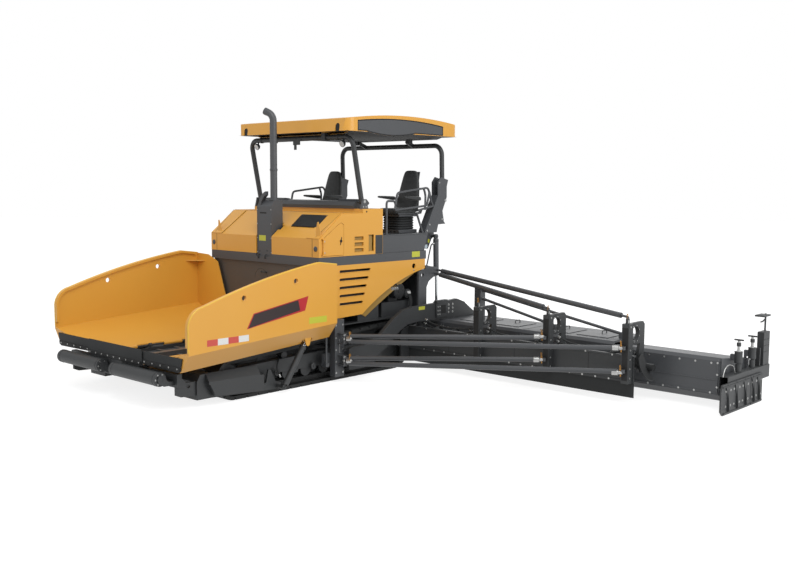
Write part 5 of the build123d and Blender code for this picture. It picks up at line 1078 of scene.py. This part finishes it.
class PAVER_OT_screed(bpy.types.Operator):
    """Creases, lids, handles, seams, bolts and brace pins of the screed's front and top"""
    bl_idname = "paver.screed"
    bl_label = "Screed"

    def execute(self, context):
        front, outermost = SCREED_FRONT, SECTION_EDGES[-1]
        creases, seams, heads, lids, handles = [], [], [], [], []
        for first, second in zip(SECTION_EDGES, SECTION_EDGES[1:]):
            posts = (first + 22, second - 22)
            creases += [strip((first + 25, 372), (second - 25, 384), front, 6, "x"),
                        strip((first + 25, 205), (second - 25, 222), front, 9, "x")]
            creases += [strip((edge - 9, 200), (edge + 9, 640), front, 12, "x") for edge in posts]
            heads += [(front + lift, y, z) for lift, z in ((9, 213), (0, 590))
                      for y in np.linspace(first + 110, second - 110, 7)]
            heads += [(front + 12, edge, z) for edge in posts for z in (290, 450, 600)]
            if second == outermost:
                seams.append(strip((first + 300, 300), (first + 305, 640), front, 1.2, "x"))
                continue
            seams.append(strip((-2555, second - 4), (-1765, second + 4), 701, 1.2, "z"))
            middle = (first + second) / 2
            lids += [block((-2380, -1900), (middle + near, middle + far), LID_Z)
                     for near, far in ((-560, -60), (60, 560))]
            handles += [tube([(-2300, y, 709), (-2300, y, 745), (-2180, y, 745), (-2180, y, 709)], 7, 20)
                        for y in (middle - 310, middle + 310)]
        fit_both("screed_creases", creases, "grey", "screed", bevel=0.002)
        fit_both("screed_lids", lids, "grey", "screed", bevel=0.003)
        fit_both("screed_handles", handles, "deep_grey", "screed")
        fit_both("screed_seams", seams, "black", "screed")
        fit_both("screed_bolts", [bolt_row(heads, X, 9)], "zinc", "screed")
        pins = [rod((-2060, 1930, z), (-2060, 2070, z), 15, 12, 2) for z in (1190, 1060)]
        fit_both("screed_braces_pins", pins, "zinc", "screed")
        return {"FINISHED"}


class PAVER_OT_walkway(bpy.types.Operator):
    """Open grating of the screed's walkway and its kick plates"""
    bl_idname = "paver.walkway"
    bl_label = "Walkway"

    def execute(self, context):
        pitch = context.scene.paver_fittings.grating_pitch / MM
        rear, front, foot = -2812, -2568, 360
        bars = []
        for first, second in WALKWAY_RUNS:
            bars += [block((rear, front), (y, y + 6), (foot, foot + 6))
                     for y in np.arange(first + 10, second - 10, pitch)]
            bars += [block((x, x + 8), (first, second), (foot, foot + 5)) for x in (rear, -2690, front - 8)]
        fit_one("walkway_grating", bars, "steel", "screed")
        kicks = [block((rear - 8, rear), run, (foot, foot + 60)) for run in WALKWAY_RUNS]
        fit_one("walkway_kick_plates", kicks, "grey", "screed", bevel=0.001)
        return {"FINISHED"}


class PAVER_OT_end_gates(bpy.types.Operator):
    """Ribs, rails, bolts, spindles, cranks, control box, panel and grab wire of the end gates, and the sleeves
    that their spindles stand in"""
    bl_idname = "paver.end_gates"
    bl_label = "End gates"

    def execute(self, context):
        face = box_of("end_gate_left")[1][1]
        y = face - 90
        ribs = []
        for x in (-1560, -1820, -2080, -2330, -2500):
            ribs += [plate([(face, 40), (face + 30, 52), (face + 5, 380), (face, 380)], x - 6, 12, "x"),
                     plate([(x - 62, 352), (x + 62, 352), (x + 12, 200), (x - 12, 200)], face, 10, "y")]
        fit_pair("gate_ribs", ribs, "deep_grey", "gate", bevel=0.001)
        rails = [strip((-2225, 352), (-1410, 366), face, 8, "y"), strip((-2600, 352), (-2252, 366), face, 8, "y"),
                 strip((-2225, 18), (-1440, 34), face, 10, "y"), strip((-2600, 18), (-2252, 34), face, 10, "y")]
        fit_pair("gate_rails", rails, "deep_grey", "gate", bevel=0.002)
        bolt_x = (-1500, -1640, -1740, -1900, -2000, -2160, -2290, -2420, -2560)
        fit_pair("gate_bolts", [bolt_row([(x, face, z) for x in bolt_x for z in (110, 300)], Y, 11)], "zinc", "gate")
        zinc, dark = [], []
        for x in SPINDLE_X:
            zinc += [rod((x, y, 741), (x, y, 858), 17.6, 16), rod((x, y, 700), (x, y, 742), 24, 6, 3)]
            dark += [rod((x, y, 786), (x, y, 834), 28, 18, 4), rod((x, y - 62, 868), (x, y + 62, 868), 11, 12, 3)]
        fit_pair("gate_spindles", zinc, "zinc", "gate")
        fit_pair("gate_cranks", dark, "deep_grey", "gate")
        box_face = face - 38
        box = block((-2868, -2682), (box_face - 11, box_face), (560, 880))
        fit_pair("control_box_face", [box], "plastic", "gate", bevel=0.004)
        knobs = [turned([(0, 9), (8, 8), (11, 4)], (x, box_face, z), Y, 12)
                 for x in (-2840, -2790, -2740, -2700) for z in (640, 720, 800)]
        fit_pair("control_box_knobs", knobs, "black", "gate", slot="trim_plastic")
        panel = [block((-2875, -2660), (y - 70, y + 60), (1100, 1122)),
                 tube([(-2850, y, 1100), (-2850, y, 1060), (-2760, y, 1030), (-2700, y, 1030)], 10, 20)]
        fit_pair("control_panel", panel, "deep_grey", "gate", bevel=0.003)
        wire = [(-1556, 460), (-1600, 560), (-1720, 600), (-1860, 560), (-1907, 462)]
        fit_pair("gate_grab_wire", [tube([(x, y + 20, z) for x, z in wire], 6, 90)], "zinc", "gate")
        caps = [rod((x, y, 716), (x, y, 728), 34, 18, 3) for x in SPINDLE_X]
        fit_both("spindle_sleeve_caps", caps, "zinc", "screed")
        open_c = [(r * math.cos(t), r * math.sin(t)) for r, way in ((41, 1), (34.5, -1))
                  for t in np.radians(np.linspace(-33, 213, 22))[::way]]
        lower = [plate([(x + a, y + b) for a, b in open_c], 461, 106, "z") for x in SPINDLE_X]
        fit_pair("spindle_lower_sleeves", lower, "deep_grey", "gate")
        upper = [ring((x, y, z), Z, inner, outer, thick)
                 for z, inner, outer, thick in ((574, 42.5, 50, 140), (712, 20, 54, 8)) for x in SPINDLE_X]
        fit_both("spindle_upper_sleeves", upper, "deep_grey", "screed")
        return {"FINISHED"}


class PAVER_OT_lift(bpy.types.Operator):
    """Bands and hoses of the lift cylinders"""
    bl_idname = "paver.lift"
    bl_label = "Lift cylinders"

    def execute(self, context):
        top, eye = np.array((-1950.0, 1180, 1985)), np.array((-1975.0, 1180, 900))
        run = (eye - top) / np.linalg.norm(eye - top)
        band = turned([(0, 30), (4, 46), (20, 46), (24, 30)], top + run * 60, run, 20)
        fit_both("lift_bands", [band], "deep_grey", "lift_barrels")
        hose = [(-1925, 1180, 1880), (-1850, 1170, 1860), (-1820, 1150, 1700), (-1800, 1120, 1500)]
        fit_hoses("lift", [(hose, 90)], 10)
        return {"FINISHED"}


class PAVER_OT_engine_bay(bpy.types.Operator):
    """Hoses, caps and bolts in the engine bay"""
    bl_idname = "paver.engine_bay"
    bl_label = "Engine bay"

    def execute(self, context):
        hoses = [([(-1040 + 40 * i, 1192, 1200), (-1000 + 50 * i, 1205, 1300 + 20 * i),
                   (-760 + 60 * i, 1205, 1330 + 20 * i), (-600 + 40 * i, 1192, 1200)], 120) for i in range(4)]
        hoses += [([(-1290 - 20 * i, 1172, 1160), (-1330 - 20 * i, 1200, 1000), (-1300 - 20 * i, 1190, 870),
                    (-1180, 1150, 830)], 90) for i in range(3)]
        fit_hoses("bay", hoses, 12)
        pump_x, pump_y, pump_z = -1080, 1190, 1180
        caps = [turned([(0, 112), (6, 112), (14, 96), (14, 40), (22, 36), (22, 6)], (pump_x, pump_y, pump_z), Y, 28),
                turned([(0, 62), (6, 62), (12, 50), (12, 20), (18, 18), (18, 4)], (-1300, 1170, 1120), Y, 24)]
        fit_both("bay_caps", caps, "engine")
        fit_both("bay_bolts", [bolt_circle((pump_x, pump_y + 14, pump_z), 78, 8, 8)], "iron")
        return {"FINISHED"}


# ------------------------------------------------------------------ stage
class PAVER_OT_stage(bpy.types.Operator):
    """Camera, floor, lamps and world"""
    bl_idname = "paver.stage"
    bl_label = "Stage"

    def execute(self, context):
        stage = context.scene.paver_stage
        aim_camera(context, stage)
        lay_floor(stage)
        hang_lamps(stage)
        return {"FINISHED"}


def aim_camera(context, stage):
    """Camera from its place, heading, dip and roll: the view direction is turned by the heading round Z, dipped,
    and the picture's own axes are rolled about it."""
    heading, dip, roll = stage.heading, stage.dip, stage.roll
    view = Vector((-math.cos(heading) * math.cos(dip), -math.sin(heading) * math.cos(dip), -math.sin(dip)))
    side = Vector((-math.sin(heading), math.cos(heading), 0))
    up = side.cross(view)
    right = side * math.cos(roll) + up * math.sin(roll)
    top = up * math.cos(roll) - side * math.sin(roll)
    lens = bpy.data.cameras.new("view")
    lens.sensor_width = 36.0
    lens.lens = stage.lens
    lens.clip_end = 200.0
    camera = bpy.data.objects.new("view", lens)
    context.scene.collection.objects.link(camera)
    turn = Matrix((right, top, -view)).transposed().to_4x4()
    camera.matrix_world = Matrix.Translation(stage.camera_place) @ turn
    context.scene.camera = camera
    context.scene.view_settings.view_transform = "Standard"


def backdrop_material(stage):
    """Pale matt floor: it takes the object's shadow, and to the camera it is lifted to a plain white."""
    material = bpy.data.materials.new("studio_paper")
    tree = new_tree(material)
    paper = add_node(tree, "ShaderNodeBsdfDiffuse", {"Color": colour("#9C9C9C")})
    lift = add_node(tree, "ShaderNodeEmission", {"Color": colour("#FFFFFF"), "Strength": stage.floor_lift})
    lifted = add_node(tree, "ShaderNodeAddShader", links={0: paper.outputs[0], 1: lift.outputs[0]})
    rays = add_node(tree, "ShaderNodeLightPath")
    seen = add_node(tree, "ShaderNodeMath", {"operation": "MAXIMUM"},
                    {0: rays.outputs["Is Camera Ray"], 1: rays.outputs["Is Glossy Ray"]})
    pick = add_node(tree, "ShaderNodeMixShader", links={0: seen.outputs[0], 1: paper.outputs[0], 2: lifted.outputs[0]})
    add_node(tree, "ShaderNodeOutputMaterial", links={"Surface": pick.outputs[0]})
    return material


def lay_floor(stage):
    """A round floor: rings of points whose radius grows as the square of the ring number."""
    step, turn = np.meshgrid(np.linspace(0.02, 1, 12), np.linspace(0, 2 * np.pi, 64, endpoint=False), indexing="ij")
    radius = stage.floor_radius * step ** 2
    points = np.stack([radius * np.cos(turn), radius * np.sin(turn), 0 * radius], axis=-1).reshape(-1, 3)
    faces = grid_faces(12, 64, close_cols=True) + [list(range(64))]
    mesh = bpy.data.meshes.new("floor")
    mesh.from_pydata((points - [0, 0, stage.floor_drop]).tolist(), [], faces)
    floor = bpy.data.objects.new("floor", mesh)
    bpy.context.scene.collection.objects.link(floor)
    mesh.materials.append(backdrop_material(stage))


def hang_lamps(stage):
    """Large soft lamps round the machine, and an even white world."""
    for name, place, size, watts in (("key", (6.0, 10.0, 14.0), 9.0, stage.key_watts),
                                     ("front", (14.0, -4.0, 6.0), 8.0, stage.front_watts),
                                     ("side", (-3.0, 15.0, 6.0), 9.0, stage.side_watts),
                                     ("rear", (-12.0, -3.0, 9.0), 9.0, stage.rear_watts)):
        lamp = bpy.data.lights.new(name, "AREA")
        lamp.size = size
        lamp.energy = watts
        hung = bpy.data.objects.new(name, lamp)
        hung.location = place
        hung.rotation_euler = (Vector((0, 0, 1.0)) - Vector(place)).to_track_quat("-Z", "Y").to_euler()
        bpy.context.scene.collection.objects.link(hung)
    world = bpy.data.worlds.new("studio")
    tree = new_tree(world)
    soft = add_node(tree, "ShaderNodeBackground", {"Color": colour("#FFFFFF"), "Strength": stage.world_light})
    white = add_node(tree, "ShaderNodeBackground", {"Color": colour("#FFFFFF"), "Strength": 1.0})
    rays = add_node(tree, "ShaderNodeLightPath")
    seen = add_node(tree, "ShaderNodeMath", {"operation": "MAXIMUM"},
                    {0: rays.outputs["Is Camera Ray"], 1: rays.outputs["Is Transmission Ray"]})
    pick = add_node(tree, "ShaderNodeMixShader", links={0: seen.outputs[0], 1: soft.outputs[0], 2: white.outputs[0]})
    add_node(tree, "ShaderNodeOutputWorld", links={"Surface": pick.outputs[0]})
    bpy.context.scene.world = world


class PaverStage(bpy.types.PropertyGroup):
    """Camera, floor and light round the machine"""
    camera_place: bpy.props.FloatVectorProperty(name="Camera place", description="Where the camera stands",
                                                default=(9.458, 11.137, 2.797), subtype="TRANSLATION", unit="LENGTH")
    heading: bpy.props.FloatProperty(name="Heading", description="Turn of the camera's place round the machine",
                                     default=math.radians(42.873), subtype="ANGLE", unit="ROTATION")
    dip: bpy.props.FloatProperty(name="Dip", description="Angle the camera looks down", default=math.radians(6.019),
                                 subtype="ANGLE", unit="ROTATION")
    roll: bpy.props.FloatProperty(name="Roll", description="Turn of the picture", default=math.radians(0.248),
                                  subtype="ANGLE", unit="ROTATION")
    lens: bpy.props.FloatProperty(name="Lens", description="Focal length in millimetres", default=43.285)
    floor_radius: bpy.props.FloatProperty(name="Floor radius", description="Reach of the floor", default=70.0,
                                          unit="LENGTH")
    floor_drop: bpy.props.FloatProperty(name="Floor drop", description="Gap below the tracks", default=0.001,
                                        unit="LENGTH")
    floor_lift: bpy.props.FloatProperty(name="Floor lift", description="Light added to the floor as seen",
                                        default=0.82)
    key_watts: bpy.props.FloatProperty(name="Key lamp", description="Power of the main lamp", default=1150.0)
    front_watts: bpy.props.FloatProperty(name="Front lamp", description="Power of the lamp in front", default=180.0)
    side_watts: bpy.props.FloatProperty(name="Side lamp", description="Power of the lamp beside", default=820.0)
    rear_watts: bpy.props.FloatProperty(name="Rear lamp", description="Power of the lamp behind", default=450.0)
    world_light: bpy.props.FloatProperty(name="World light", description="Strength of the even light", default=0.75)


class PaverColours(bpy.types.PropertyGroup):
    """Paint of the machine's body"""
    body_yellow: bpy.props.StringProperty(name="Body yellow", description="Hex colour of the painted body",
                                          default="#D99F3C")


class PaverFittings(bpy.types.PropertyGroup):
    """Sizes of the fittings that may be chosen"""
    stripe_length: bpy.props.FloatProperty(name="Stripe band", description="Length of one band of the stripe",
                                           default=0.160, unit="LENGTH")
    stripe_height: bpy.props.FloatProperty(name="Stripe height", description="Height of the stripe",
                                           default=0.080, unit="LENGTH")
    rail_radius: bpy.props.FloatProperty(name="Rail radius", description="Radius of the handrails' tube",
                                         default=0.017, unit="LENGTH")
    grating_pitch: bpy.props.FloatProperty(name="Grating pitch", description="Distance between the walkway's bars",
                                           default=0.034, unit="LENGTH")
    seat_fill: bpy.props.FloatProperty(name="Seat fill", description="How firmly the seats are stuffed",
                                       default=0.75, subtype="FACTOR", min=0.0, max=1.0)


class PAVER_PT_panel(bpy.types.Panel):
    """Lists the steps that build the machine's finishes and fittings"""
    bl_idname = "PAVER_PT_panel"
    bl_label = "Asphalt paver"
    bl_space_type = "VIEW_3D"
    bl_region_type = "UI"
    bl_category = "Paver"

    def draw(self, context):
        for step in STEPS:
            self.layout.operator(step.bl_idname)


STEPS = (
    PAVER_OT_finishes, PAVER_OT_wing_marks, PAVER_OT_wing_fittings, PAVER_OT_push_rollers, PAVER_OT_hood,
    PAVER_OT_hood_sides, PAVER_OT_louvres, PAVER_OT_bulkhead, PAVER_OT_exhaust, PAVER_OT_seats,
    PAVER_OT_handrails, PAVER_OT_console, PAVER_OT_platform, PAVER_OT_roof, PAVER_OT_hoops, PAVER_OT_tracks,
    PAVER_OT_tow_arms, PAVER_OT_rods, PAVER_OT_brackets, PAVER_OT_mouldboards, PAVER_OT_screed,
    PAVER_OT_walkway, PAVER_OT_end_gates, PAVER_OT_lift, PAVER_OT_engine_bay, PAVER_OT_stage,
)
CLASSES = (PaverStage, PaverColours, PaverFittings, *STEPS, PAVER_PT_panel)


def register():
    """Registers the classes and hangs their settings on the scene."""
    for kind in CLASSES:
        bpy.utils.register_class(kind)
    bpy.types.Scene.paver_stage = bpy.props.PointerProperty(type=PaverStage)
    bpy.types.Scene.paver_colours = bpy.props.PointerProperty(type=PaverColours)
    bpy.types.Scene.paver_fittings = bpy.props.PointerProperty(type=PaverFittings)


def unregister():
    """Takes the settings off the scene and unregisters the classes, last one first."""
    del bpy.types.Scene.paver_fittings
    del bpy.types.Scene.paver_colours
    del bpy.types.Scene.paver_stage
    for kind in reversed(CLASSES):
        bpy.utils.unregister_class(kind)


def main():
    """Builds everything in order."""
    register()
    for step in STEPS:
        group, name = step.bl_idname.split(".")
        getattr(getattr(bpy.ops, group), name)()


if __name__ == "__main__":
    main()
